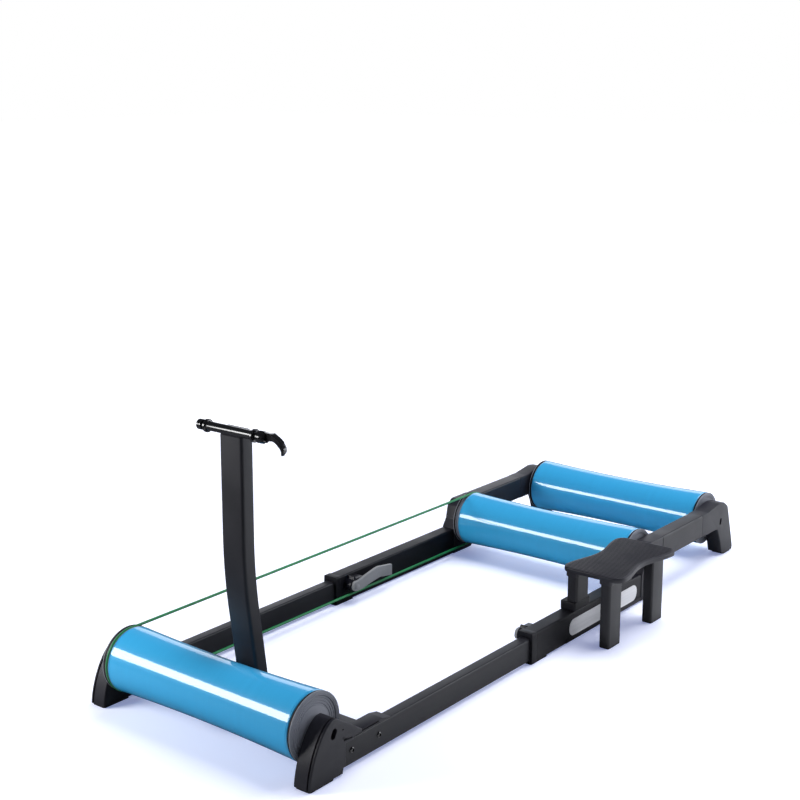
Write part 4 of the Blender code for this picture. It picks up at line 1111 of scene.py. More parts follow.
    def build(self) -> None:
        """Model and dress the whole roller."""
        self.build_drum()
        self.build_ends()
        self.build_axle(f"{self.title.split('_')[0]}_axle")
        log.info("%s built", self.title)


@dataclass
class Belt:
    """The round green belt from the front roller's groove to the middle roller's.

    Its crown stands a little proud of the drums.
    """

    thickness: float = 0.0046
    proud: float = 0.0008
    sides: int = 16
    bow_steps: int = 48
    run_steps: int = 24

    def build(self) -> None:
        """Spin and extrude the belt's section round both rollers."""
        front = Box.of("front_axle").middle
        middle = Box.of("middle_axle").middle
        centre_x = Box.of("drive_belt").middle.x
        radius = self.thickness / 2
        clear = Box.of("front_roller_drum").size.z / 2 + self.proud
        deselect_all()
        bpy.ops.mesh.primitive_circle_add(
            vertices=self.sides, radius=radius, fill_type="NOTHING",
            location=(centre_x, middle.y, middle.z + clear - radius),
            rotation=(math.pi / 2, 0, 0))
        bpy.ops.object.transform_apply(location=True, rotation=True, scale=True)
        belt = Workpiece(bpy.context.object)
        belt.piece.name = "belt_loop"
        run = Vector((0.0, front.y - middle.y, front.z - middle.z)) / self.run_steps
        with editing(belt.piece, "EDGE"):
            pick_all()
            for start, way in ((front, run), (middle, -run)):
                for _ in range(self.run_steps):
                    extrude(way)
                bpy.ops.mesh.spin(steps=self.bow_steps, angle=math.pi, axis=(-1, 0, 0),
                                  center=(centre_x, start.y, start.z))
            pick_all()
            bpy.ops.mesh.remove_doubles(threshold=MERGE)
            face_out()
        take(belt.piece)
        bpy.ops.object.shade_smooth()
        belt.piece.data.materials.append(BELT_GREEN.material())
        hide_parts("drive_belt")
        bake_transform(belt.piece)
        log.info("belt built")


@dataclass
class FrontFrame:
    """The front feet, the rails that slide, the crossbar and what joins them."""

    toe: float = 0.051
    toe_crowd: float = 1.5
    toe_lean: float = 1.6
    toe_fall: float = 0.62
    crown: float = 0.0215
    heel: float = 0.021
    heel_height: float = 0.012
    lobe: float = 0.018
    lobe_reach: float = 0.062
    lobe_gap: float = 0.0005
    soft: float = 0.006
    tight: float = 0.002
    plate_height: float = 0.0053
    rail_start: float = 0.026
    sole: float = 0.0022
    sole_inset: float = 0.0015
    groove_place: float = 0.0036
    groove_width: float = 0.0032
    groove_depth: float = 0.0026
    edge: float = 0.0026
    slot_shift: float = 0.0005
    slot_half: float = 0.0033
    slot_radius: float = 0.0050
    slot_tilt: float = math.radians(63)
    slot_depth: float = 0.010
    dot_radius: float = 0.0013
    notch_ease: float = 0.001
    notch_reach: float = 0.040
    mark_depth: float = 0.003
    bore_end: float = 0.009
    tube_corner: float = 0.003
    wall: float = 0.002
    crossbar_wall: float = 0.0025
    dome: float = 0.0022
    shank: float = 0.0026
    socket_depth: float = 0.0016
    socket_share: float = 0.62
    plate: float = 0.005
    bracket_edge: float = 0.0008
    tip: float = 0.018
    screw_hole: float = 0.0029
    gap_low: float = 0.0018
    gap_high: float = 0.0041
    gap_depth: float = 0.0065
    gap_start: float = 0.004
    gap_end: float = 0.026

    def __post_init__(self) -> None:
        """Read the places from the frame."""
        self.axle = Box.of("front_axle").middle
        self.foot = Box.of("front_foot_right")
        self.rail = Box.of("front_rail_right")
        self.top = self.axle.z + self.crown

    def toe_curve(self, inset: float, low: float, high: float, steps: int) -> Outline:
        """The curve of the toe in side view.

        Args:
            inset: How far the curve lies inside the foot's outline.
            low: The height at which the curve starts.
            high: The height at which it ends.
            steps: How many points it has.

        Returns:
            Points of (Y, Z), from low to high.
        """
        points: Outline = []
        for step in range(steps):
            rise = low + (high - low) * (1 - (1 - step / (steps - 1)) ** self.toe_crowd)
            share = min(1.0, rise / (self.top - inset))
            reach = (self.toe - inset) * (1 - share ** self.toe_lean) ** self.toe_fall
            points.append((self.axle.y - reach, rise))
        return points

    def crown_corners(self, inset: float) -> list[Corner]:
        """The corners over the axle and down to the rail's end."""
        y, top = self.axle.y, self.top - inset
        lobe = self.rail_start + self.lobe
        rail_top = self.rail.high.z + GAP
        over = rail_top + self.plate_height
        soft, tight = self.soft, self.tight
        end, step = y + self.lobe_reach - inset, y + lobe - self.lobe_gap
        start = y + self.rail_start - GAP
        return [(y + 0.12 * self.toe, top, soft), (y + 0.9 * lobe, self.axle.z - inset, soft),
                (end, over + 2 * tight, tight), (end, over, 0.0), (step, over, 0.0),
                (step, rail_top, 0.0), (start, rail_top, 0.0), (start, self.heel_height, 0.0),
                (y + self.heel, self.heel_height, tight),
                (y + self.heel - tight, self.sole + GAP, 0.0)]

    def foot_outline(self, inset: float) -> Outline:
        """Side view of a foot: the toe's curve, then the crown and the heel."""
        curve = [(a, b, 0.0) for a, b in self.toe_curve(
            inset, self.sole + GAP, (self.top - inset) * 0.999, 36)]
        return rounded(curve + self.crown_corners(inset))

    def build_feet(self) -> None:
        """Each foot has a fine groove beside its outer face, an axle slot and a rubber sole."""
        low, high = self.foot.low.x, self.foot.high.x
        y, z = self.axle.y, self.axle.z
        foot = Workpiece.slab("foot_front_right", Axis.X, self.foot_outline(0.0), low, high)
        foot.round_rims(Axis.X, self.edge, 5)
        groove = high - self.groove_place
        ring = Workpiece.tube("groove_cutter", Axis.X, self.foot_outline(-2 * self.tight),
                              self.foot_outline(self.groove_depth), groove - self.groove_width,
                              groove)
        foot.combine(ring)
        slot = slot_outline((y + self.slot_shift, z), self.slot_half, self.slot_radius,
                            self.slot_tilt)
        foot.cut(Axis.X, slot, high - self.slot_depth, high + PAST)
        dot = ring_outline((y + 0.0197, z - 0.0005), self.dot_radius)
        ease, tip = self.notch_ease, y + self.notch_reach
        notch = rounded([(y + 0.0175, z - 0.0105, ease), (y + 0.0220, z - 0.0190, ease),
                         (tip, z - 0.0205, 0.0), (tip, z - 0.0188, 0.0),
                         (y + 0.0290, z - 0.0175, ease), (y + 0.0235, z - 0.0140, ease)])
        for mark in (dot, notch):
            foot.cut(Axis.X, mark, high - self.mark_depth, high + PAST)
        bore = Box.of("front_axle").size.z / 2 + GAP
        foot.cut(Axis.X, ring_outline((y, z), bore), low - PAST, high - self.bore_end)
        inset = self.sole_inset
        pad = rectangle(low + inset, high - inset, y - self.toe + inset, y + self.tight,
                        2 * self.tight)
        sole = Workpiece.slab("foot_sole_front_right", Axis.Z, pad, 0.0, self.sole)
        foot.finish_pair(MOULDED_BLACK, "front_foot_right")
        sole.finish_pair(RUBBER, "front_foot_right")

    def build_rails(self) -> None:
        """The thin painted tubes, with a row of screws at the foot."""
        section = hollow_section(*self.rail.section(Axis.Y), self.tube_corner, self.wall)
        rail = Workpiece.tube("rail_tube_right", Axis.Y, *section, *self.rail.span(Axis.Y))
        rail.finish_pair(FRAME_PAINT, "front_rail_right")
        for end in ("front", "rear"):
            screw = self.screw(f"rail_screw_{end}_right")
            screw.piece.name = f"socket_screw_{end}_right"
            screw.finish_pair(GLOSS_BLACK, f"rail_screw_{end}_right")

    def screw(self, node: str) -> Workpiece:
        """A button head screw with a hexagon socket."""
        room = Box.of(node)
        head = room.size.z / 2
        centre = Vector((room.high.x, room.middle.y, room.middle.z))
        profile = [*dome_profile(-self.dome, head), (-self.dome, self.shank),
                   (-room.size.x, self.shank), (-room.size.x, 0.0)]
        made = Workpiece.turned("screw", profile, centre, SMALL_SIDES)
        socket = ring_outline((centre.y, centre.z), head * self.socket_share, 6)
        return made.cut(Axis.X, socket, centre.x - self.socket_depth, centre.x + PAST)

    def build_bracket(self) -> None:
        """The angle that joins the crossbar to each rail, with a tapered tip."""
        room = Box.of("crossbar_bracket_right")
        screw = Box.of("rail_screw_rear_right")
        under = room.high.z - self.plate
        side = rounded([(room.low.y, under, 0.0), (room.high.y, under, 0.0),
                        (room.high.y, under + 0.001, 0.0003),
                        (room.high.y - self.tip, room.high.z, 0.004),
                        (room.low.y, room.high.z, 0.0)])
        top = Workpiece.slab("bracket_right", Axis.X, side, *room.span(Axis.X))
        top.soften(self.bracket_edge, 2, 40)
        gap = rectangle(room.high.x - self.gap_depth, room.high.x + PAST, under + self.gap_low,
                        under + self.gap_high, 0.0)
        top.cut(Axis.Y, gap, room.low.y + self.gap_start, room.high.y - self.gap_end)
        web = rectangle(room.low.x, self.rail.low.x - GAP, room.low.z, under - GAP,
                        self.bracket_edge)
        below = Workpiece.slab("bracket_web", Axis.Y, web, room.low.y, room.high.y - self.tight)
        hole = ring_outline((screw.middle.y, screw.middle.z), self.screw_hole)
        below.cut(Axis.X, hole, room.low.x - 0.01, room.high.x)
        top.join(below)
        top.finish_pair(MOULDED_BLACK, "crossbar_bracket_right")

    def build_crossbar(self) -> None:
        """The painted tube between the two rails."""
        room = Box.of("crossbar")
        section = hollow_section(*room.section(Axis.X), self.tube_corner, self.crossbar_wall)
        bar = Workpiece.tube("crossbar_tube", Axis.X, *section, *room.span(Axis.X))
        bar.finish(FRAME_PAINT, "crossbar")

    def build(self) -> None:
        """Model and dress the front frame."""
        self.build_feet()
        self.build_rails()
        self.build_bracket()
        self.build_crossbar()
        log.info("front frame built")


@dataclass
class Post:
    """The bent tube that stands on the crossbar, closed at its top."""

    knee: float = 0.235
    lean: float = math.radians(7.6)
    tilt: float = math.radians(0.6)
    bend: float = 0.060
    bend_steps: int = 24
    corner: float = 0.005
    depth: float = 0.025
    wall: float = 0.002
    cap: float = 0.0012
    first_ring: float = 0.004
    hollow: float = 0.03
    behind_axle: float = 0.0543
    hold: float = 0.007
    seat_start: float = math.radians(-72)
    seat_sweep: float = math.radians(105)
    slope_length: float = 0.005
    slope_high: float = 0.0028
    slope_low: float = 0.0021
    turn: float = 0.002
    edge: float = 0.0008

    def __post_init__(self) -> None:
        """Read the post's places from the frame."""
        self.room = Box.of("post")
        self.knee_y = Box.of("front_axle").middle.y + self.behind_axle

    def line(self, height: float) -> float:
        """Where the middle of the post lies in Y at a height."""
        lower = math.tan(self.lean)
        upper = math.tan(self.tilt)
        if height <= self.knee - self.bend:
            return self.knee_y + (self.knee - height) * lower
        if height >= self.knee + self.bend:
            return self.knee_y + (height - self.knee) * upper
        share = (height - self.knee + self.bend) / (2 * self.bend)
        start = self.knee_y + self.bend * lower
        end = self.knee_y + self.bend * upper
        return (start * (1 - share) ** 2 + 2 * self.knee_y * share * (1 - share)
                + end * share ** 2)

    def build_tube(self) -> None:
        """Extrude the post's section up its line, then round its top and open its foot."""
        low, high = self.room.low, self.room.high
        levels = [low.z + self.first_ring]
        levels += [self.knee - self.bend + 2 * self.bend * step / self.bend_steps
                   for step in range(self.bend_steps + 1)]
        levels += [high.z - self.cap]
        start = self.line(low.z)
        section = rectangle(low.x, high.x, start - self.depth / 2, start + self.depth / 2,
                            self.corner)
        post = Workpiece.traced("post_tube", [on_axis(Axis.Z, low.z, point)
                                              for point in section])
        with editing(post.piece):
            pick_all()
            before = low.z
            for level in levels:
                extrude(Vector((0.0, self.line(level) - self.line(before), level - before)))
                before = level
            bpy.ops.mesh.inset(thickness=self.cap, depth=0.0)
            bpy.ops.transform.translate(value=(0, 0, self.cap))
            face_out()
            bpy.ops.mesh.select_all(action="DESELECT")
            post.pick_faces(lambda centre, normal: normal.z < -0.9 and centre.z < low.z + MERGE)
            bpy.ops.mesh.inset(thickness=self.wall, depth=0.0)
            extrude(Vector((0.0, -self.hollow * math.tan(self.lean), self.hollow)))
        post.finish(FRAME_PAINT, "post")

    def build_base(self) -> None:
        """The plate under the post."""
        room = Box.of("post_base")
        plan = rectangle(*room.section(Axis.Z), self.corner)
        plate = Workpiece.slab("post_foot_plate", Axis.Z, plan, *room.span(Axis.Z))
        plate.round_rims(Axis.Z, self.edge, 2, [room.high.z])
        plate.finish(FRAME_PAINT, "post_base")

    def build_saddle(self) -> None:
        """The block on the post that holds the fork tube from behind and below."""
        room = Box.of("fork_tube_saddle")
        tube = Box.of("fork_tube").middle
        seat = [(*point, 0.0) for point in arc((tube.y, tube.z), self.hold + GAP,
                                               self.seat_start, self.seat_sweep, 20)]
        back = [(room.high.y - self.slope_length, tube.z + self.slope_high, self.turn),
                (room.high.y, tube.z - self.slope_low, self.turn),
                (room.high.y, room.low.z, 0.0), (seat[0][0] + 2 * GAP, room.low.z, 0.0)]
        block = Workpiece.slab("fork_saddle", Axis.X, rounded(seat + back), *room.span(Axis.X))
        block.round_rims(Axis.X, 2 * GAP, 2)
        block.finish(FRAME_PAINT, "fork_tube_saddle")

    def build(self) -> None:
        """Model and dress the post."""
        self.build_tube()
        self.build_base()
        self.build_saddle()
        log.info("post built")


@dataclass
class ForkMount:
    """The cross tube that the fork's ends sit on, and the skewer that clamps them."""

    seat_length: float = 0.004
    seat_radius: float = 0.010
    radius: float = 0.007
    bore: float = 0.0028
    eye_radius: float = 0.0055
    brow: float = 0.0086
    neck: float = 0.0168
    overlap: float = 0.0025
    ease: float = 0.0005
    turn: float = 0.0006
    nut_groove: float = 0.0008
    edge: float = 0.0016
    taper: tuple[Point, ...] = ((0.006, 0.92), (0.010, 0.88), (0.014, 0.84), (0.018, 0.78))
    cam_slot: float = 0.006

    def __post_init__(self) -> None:
        """Read the places from the frame."""
        self.tube = Box.of("fork_tube")
        self.centre = Vector((MIDDLE_X, self.tube.middle.y, self.tube.middle.z))
        self.half = self.tube.size.x / 2

    def build_tube(self) -> None:
        """The glossy tube, with a seat ring and fine chamfers at each end."""
        ease, turn, rim = self.ease, self.turn, self.seat_radius
        half, seat = self.half, self.half - self.seat_length
        right = [(seat - 4 * ease, self.radius), (seat - turn, self.radius + 0.8 * ease),
                 (seat, rim - turn), (seat + turn, rim), (half - ease, rim), (half, rim - ease),
                 (half, self.bore)]
        profile = [(-along, rise) for along, rise in reversed(right)] + right
        Workpiece.turned("fork_cross_tube", profile, self.centre).finish(GLOSS_BLACK,
                                                                          "fork_tube")

    def build_skewer(self) -> None:
        """The rod through the tube, its knurled nut and its slotted cam housing."""
        nut = Box.of("skewer_nut")
        rod = Box.of("skewer")
        grip = MIDDLE_X - nut.high.x
        out = MIDDLE_X - nut.low.x
        head, ease, turn = nut.size.z / 2, self.ease, self.turn
        floor = head - self.nut_groove
        profile = [(-grip, self.bore), (-grip, head - ease), (-grip - ease, head),
                   (-grip - 6 * ease, head), (-grip - 7 * ease, floor),
                   (-grip - 9 * ease, floor), (-grip - 10 * ease, head),
                   (-out + 7 * ease, head), (-out + 2 * ease, head * 0.72), (-out, head * 0.55),
                   (-out, self.bore)]
        Workpiece.turned("skewer_end_nut", profile, self.centre, 48).finish(GLOSS_BLACK,
                                                                              "skewer_nut")
        cam = rod.size.z / 2
        end = rod.high.x - MIDDLE_X
        shank, start, ring = self.bore - GAP, 2 * turn - out, grip + 4 * ease
        body = [(start, 0.0), (start, shank), (grip, shank), (grip, cam - ease),
                (grip + ease, cam), (ring, cam), (ring + turn, cam - turn),
                (ring + 2 * turn, cam), (end - 7 * ease, cam), (end - 2 * turn, cam * 0.88),
                (end, cam * 0.70), (end, 0.0)]
        made = Workpiece.turned("skewer_rod", body, self.centre, 48)
        pivot = Box.of("skewer_lever").low.x + self.eye_radius
        slot = rectangle(pivot - self.eye_radius - self.turn, end + MIDDLE_X + 0.01,
                         self.centre.z - 0.03, self.centre.z + 0.03, 0.0002)
        made.cut(Axis.Y, slot, self.centre.y - self.cam_slot / 2,
                 self.centre.y + self.cam_slot / 2)
        made.finish(GLOSS_BLACK, "skewer")

    def build_lever(self) -> None:
        """The curved cam lever, with an eye that turns in the housing's slot."""
        room = Box.of("skewer_lever")
        eye_radius, neck, inside = self.eye_radius, self.neck, self.neck + self.overlap
        pivot = Vector((room.low.x + eye_radius, 0.0, self.centre.z))
        eye = rounded([(-eye_radius, -eye_radius, eye_radius), (inside, -eye_radius * 0.4, 0.0),
                       (inside, self.brow, 0.0), (0.004, self.brow, 0.003),
                       (-eye_radius, eye_radius, eye_radius)])
        blade = rounded([(neck, -0.0010, 0.0008), (neck, 0.0092, 0.0008),
                         (0.0335, 0.0010, 0.020), (0.0428, -0.0128, 0.010),
                         (0.0365, -0.0214, 0.0008), (0.0350, -0.0202, 0.0008),
                         (0.0359, -0.0128, 0.008), (0.0259, -0.0030, 0.014)], 10)
        thin = self.cam_slot / 2 - GAP
        half = room.size.y / 2
        y = self.centre.y
        placed = [[(pivot.x + a, pivot.z + b) for a, b in line] for line in (eye, blade)]
        lever = Workpiece.slab("skewer_cam_lever", Axis.Y, placed[1], y - half, y + half)
        lever.round_rims(Axis.Y, self.edge, 4)
        for drop, share in self.taper:
            with editing(lever.piece, "FACE"):
                lever.pick_faces(lambda centre, normal: centre.z < pivot.z - drop)
                bpy.ops.transform.resize(value=(1, share, 1), center_override=(0, y, 0))
        lever.combine(Workpiece.slab("eye", Axis.Y, placed[0], y - thin, y + thin), "UNION")
        lever.finish(GLOSS_BLACK, "skewer_lever")

    def build(self) -> None:
        """Model and dress the fork mount."""
        self.build_tube()
        self.build_skewer()
        self.build_lever()
        log.info("fork mount built")


@dataclass
class Sleeve:
    """The outer tubes that the rails slide in, their collars, pads and bare side plate."""

    corner: float = 0.003
    hole_corner: float = 0.0026
    collar: float = 0.014
    collar_rise: float = 0.001
    collar_foot: float = 0.0012
    ease: float = 0.0004
    pad: float = 0.050
    ledge_foot: float = 0.0015
    ledge_height: float = 0.0085
    ledge_rise: float = 0.0012
    ledge_setback: float = 0.105
    floor: float = 0.002
    border: float = 0.0012
    border_step: float = 0.00025

    def __post_init__(self) -> None:
        """Read the places from the frame."""
        self.room = Box.of("sleeve_right")
        self.hole = rectangle(*Box.of("front_rail_right").section(Axis.Y, GAP),
                              self.hole_corner)

    def build_tube(self) -> None:
        """The tube with its collar, floor pad and the ledge along the foot of its outer side."""
        room, rise = self.room, self.collar_rise
        low_x, high_x, top = room.low.x + rise, room.high.x - rise, room.high.z - rise
        outer = rectangle(low_x, high_x, self.floor, top, self.corner)
        body = Workpiece.tube("sleeve_tube_right", Axis.Y, outer, self.hole,
                              room.low.y + self.collar, room.high.y)
        ring = rectangle(room.low.x, room.high.x, self.collar_foot, room.high.z, self.corner)
        collar = Workpiece.tube("sleeve_collar_right", Axis.Y, ring, self.hole, room.low.y,
                                room.low.y + self.collar - GAP)
        collar.round_rims(Axis.Y, 2 * self.ease, 3)
        ledge = rectangle(high_x + GAP, high_x + self.ledge_rise, self.floor + self.ledge_foot,
                          self.floor + self.ledge_height, self.ease)
        strip = Workpiece.slab("sleeve_ledge_right", Axis.Y, ledge,
                               room.low.y + self.ledge_setback, room.high.y - rise)
        strip.round_rims(Axis.Y, 1.25 * self.ease, 2)
        plan = rectangle(low_x + rise, high_x - rise, room.low.y + rise / 2,
                         room.low.y + self.pad, self.corner)
        pad = Workpiece.slab("sleeve_pad_right", Axis.Z, plan, 0.0, self.floor - GAP)
        for part, finish in ((body, SLEEVE_BLACK), (collar, SLEEVE_BLACK),
                             (strip, SLEEVE_BLACK), (pad, RUBBER)):
            part.finish_pair(finish, "sleeve_right")

    def build_plate(self) -> None:
        """The bare silver plate with round ends, with a fine step along its border."""
        room = Box.of("side_plate")
        half = room.size.z / 2
        outline = rectangle(*room.section(Axis.X), half * 0.999)
        plate = Workpiece.slab("silver_side_plate", Axis.X, outline, *room.span(Axis.X))
        with editing(plate.piece):
            plate.pick_faces(lambda centre, normal: normal.x > 0.9)
            bpy.ops.mesh.inset(thickness=self.border, depth=0.0)
            bpy.ops.mesh.inset(thickness=GAP, depth=-self.border_step)
        plate.finish(PLATE_SILVER, "side_plate")

    def build(self) -> None:
        """Model and dress both sleeves."""
        self.build_tube()
        self.build_plate()
        log.info("sleeves built")


@dataclass
class Clamp:
    """The two clamps that lock the rails: a block, a screw and a grey lever on each."""

    hub: float = 0.0095
    boss_share: float = 1.3
    reach: float = 0.1025
    depth: float = 0.024
    edge: float = 0.0012
    bore: float = 0.0033
    dome: float = 0.002
    nose_start: float = math.radians(105)
    nose_sweep: float = math.radians(150)
    further: float = math.radians(4.5)

    def __post_init__(self) -> None:
        """Read the places from the frame, on the right side."""
        self.block = Box.of("clamp_block_right")
        self.screw = Box.of("clamp_screw_right")
        self.pivot = (self.screw.middle.y, self.screw.middle.z)

    def build_block(self) -> None:
        """The boss on the sleeve: a round nose about the screw, an ear and a low shoulder."""
        y, z = self.pivot
        hub = self.boss_share * self.hub
        nose = [(*point, 0.0) for point in arc((y, z), hub, self.nose_start, self.nose_sweep, 20)]
        shoulder = z + hub
        outline = rounded([(y + hub, z - hub, 0.008),
                           (y + 1.9 * hub, shoulder - 0.5 * hub, 0.006),
                           (y + 2.1 * hub, shoulder, 0.0024),
                           (y + 0.45 * hub, shoulder, 0.0008),
                           (y - 0.02 * hub, self.block.high.z - 0.0022, 0.0008)] + nose)
        block = Workpiece.slab("clamp_boss_right", Axis.X, outline, *self.block.span(Axis.X))
        block.round_rims(Axis.X, self.edge, 4)
        hole = ring_outline(self.pivot, self.bore)
        block.cut(Axis.X, hole, self.block.low.x - PAST, self.block.high.x + PAST)
        block.finish_pair(CLAMP_BLACK, "clamp_block_right")

    def build_lever(self) -> None:
        """The grey levers, one part turned over for the right: a head, a waist and a paddle."""
        y, z = self.pivot
        hub, reach, depth = self.hub, self.reach, self.depth
        outline = rounded([(-hub, -hub, hub), (1.6 * hub, -hub, hub),
                           (0.42 * reach, -0.18 * depth, 0.020),
                           (0.66 * reach, -0.05 * depth, 0.020),
                           (reach, -0.32 * depth, 0.001), (reach, 0.60 * depth, 0.001),
                           (0.60 * reach, 0.86 * depth, 0.020),
                           (0.34 * reach, 0.66 * depth, 0.020), (0.6 * hub, hub, hub / 2),
                           (-hub, hub, hub)], 8)
        for side in Side:
            room = Box.of(f"clamp_lever_{side.word}")
            turn = Matrix.Rotation(self.further if side is Side.RIGHT else 0.0, 2)
            placed = [(y + spot.x, z - side.value * spot.y)
                      for spot in (turn @ Vector(corner) for corner in outline)]
            lever = Workpiece.slab(f"clamp_paddle_{side.word}", Axis.X, placed,
                                   *room.span(Axis.X))
            lever.round_rims(Axis.X, self.edge, 4)
            lever.cut(Axis.X, ring_outline(self.pivot, self.bore), room.low.x - PAST,
                      room.high.x + PAST)
            lever.finish(LEVER_GREY, f"clamp_lever_{side.word}")

    def build_screw(self) -> None:
        """The clamp's screw, with a low domed head on the lever."""
        room = self.screw
        head, shank = room.size.z / 2, self.bore - GAP
        centre = Vector((room.low.x, *self.pivot))
        profile = [*dome_profile(self.dome, head), (self.dome, shank), (room.size.x, shank),
                   (room.size.x, 0.0)]
        screw = Workpiece.turned("clamp_stud_right", profile, centre, SMALL_SIDES)
        screw.finish_pair(LEVER_GREY, "clamp_screw_right")

    def build(self) -> None:
        """Model and dress both clamps."""
        self.build_block()
        self.build_lever()
        self.build_screw()
        log.info("clamps built")


@dataclass
class RearFrame:
    """The uprights at the middle axle, the raised rails and the rear feet."""

    edge: float = 0.0024
    wall: float = 0.003
    corner: float = 0.0036
    soft: float = 0.012
    front: float = 0.0426
    behind: float = 0.0354
    head_length: float = 0.0795
    toe: float = 0.0595
    crown: float = 0.0395
    leg_width: float = 0.044
    sole: float = 0.002
    slot_half: float = 0.0033
    slot_radius: float = 0.0037
    slot_tilt: float = math.radians(78)
    slot_depth: float = 0.012

    def __post_init__(self) -> None:
        """Read the places from the frame."""
        self.sleeve = Box.of("sleeve_right")
        self.rail = Box.of("raised_rail_right")
        self.foot = Box.of("rear_foot_right")
        self.middle = Box.of("middle_axle").middle
        self.rear = Box.of("rear_axle").middle

    def axle_slot(self, part: Workpiece, place: Point) -> None:
        """Cut the slot in the outer face that shows the axle's end."""
        high = self.foot.high.x
        slot = slot_outline(place, self.slot_half, self.slot_radius, self.slot_tilt)
        part.cut(Axis.X, slot, high - self.slot_depth, high + PAST)

    def build_uprights(self) -> None:
        """The piece that rises from each sleeve to its raised rail."""
        y = self.middle.y
        bottom, top = self.sole, self.sleeve.high.z - 0.001
        high, low = self.rail.high.z, self.rail.low.z
        front, rear = self.front, self.behind
        rise = high - top
        outline = rounded([
            (y - front, bottom, 0.0), (y - front, top, 0.002),
            (y - 0.75 * front, top + 0.3 * rise, self.soft),
            (y - 0.60 * front, top + 0.8 * rise, self.soft), (y - 0.30 * front, high, self.soft),
            (y + rear, high, 0.0), (y + rear, low, 0.0), (y + 0.75 * rear, low, 0.006),
            (y + 0.55 * rear, bottom, 0.008)], 8)
        part = Workpiece.slab("upright_right", Axis.X, outline, *self.foot.span(Axis.X))
        part.round_rims(Axis.X, self.edge, 4)
        self.axle_slot(part, (y, self.middle.z))
        part.finish_pair(MOULDED_BLACK, "middle_upright_right")

    def build_rails(self) -> None:
        """The tubes beside the rear pair of rollers."""
        section = hollow_section(*self.rail.section(Axis.Y), self.corner, self.wall)
        rail = Workpiece.tube("raised_tube_right", Axis.Y, *section, *self.rail.span(Axis.Y))
        rail.finish_pair(FRAME_PAINT, "raised_rail_right")

    def build_feet(self) -> None:
        """The head over the rear axle and the leg down to the floor, with a rubber sole."""
        y, z = self.rear.y, self.rear.z
        high, low = self.rail.high.z, self.rail.low.z
        head_length, toe, crown = self.head_length, self.toe, self.crown
        leg_width, sole = self.leg_width, self.sole
        head, top, heel = y - head_length, z + crown, y + toe
        leg = heel - leg_width
        outline = rounded([
            (head, low, 0.0), (head, high, 0.0), (head + 0.3 * head_length, high, 0.020),
            (y - 0.06 * head_length, top, 0.030), (y + 0.25 * toe, top - 0.08 * crown, 0.010),
            (y + 0.52 * toe, top - 0.36 * crown, 0.010), (heel, 0.12 * z, 0.003),
            (heel - 0.04 * toe, sole, 0.002), (leg + 0.006, sole, 0.0),
            (leg - 0.004, 0.006, 0.0), (leg - 0.32 * leg_width, 0.56 * low, 0.008),
            (leg - 0.64 * leg_width, low, 0.006)], 8)
        part = Workpiece.slab("foot_rear_right", Axis.X, outline, *self.foot.span(Axis.X))
        part.round_rims(Axis.X, self.edge, 4)
        self.axle_slot(part, (y, z))
        plan = rectangle(self.foot.low.x + 0.002, self.foot.high.x - 0.002, leg + 0.007,
                         heel - 0.005, 0.004)
        pad = Workpiece.slab("foot_sole_rear_right", Axis.Z, plan, 0.0, sole - GAP / 2)
        part.finish_pair(MOULDED_BLACK, "rear_foot_right")
        pad.finish_pair(RUBBER, "rear_foot_right")

    def build(self) -> None:
        """Model and dress the rear frame."""
        self.build_uprights()
        self.build_rails()
        self.build_feet()
        log.info("rear frame built")


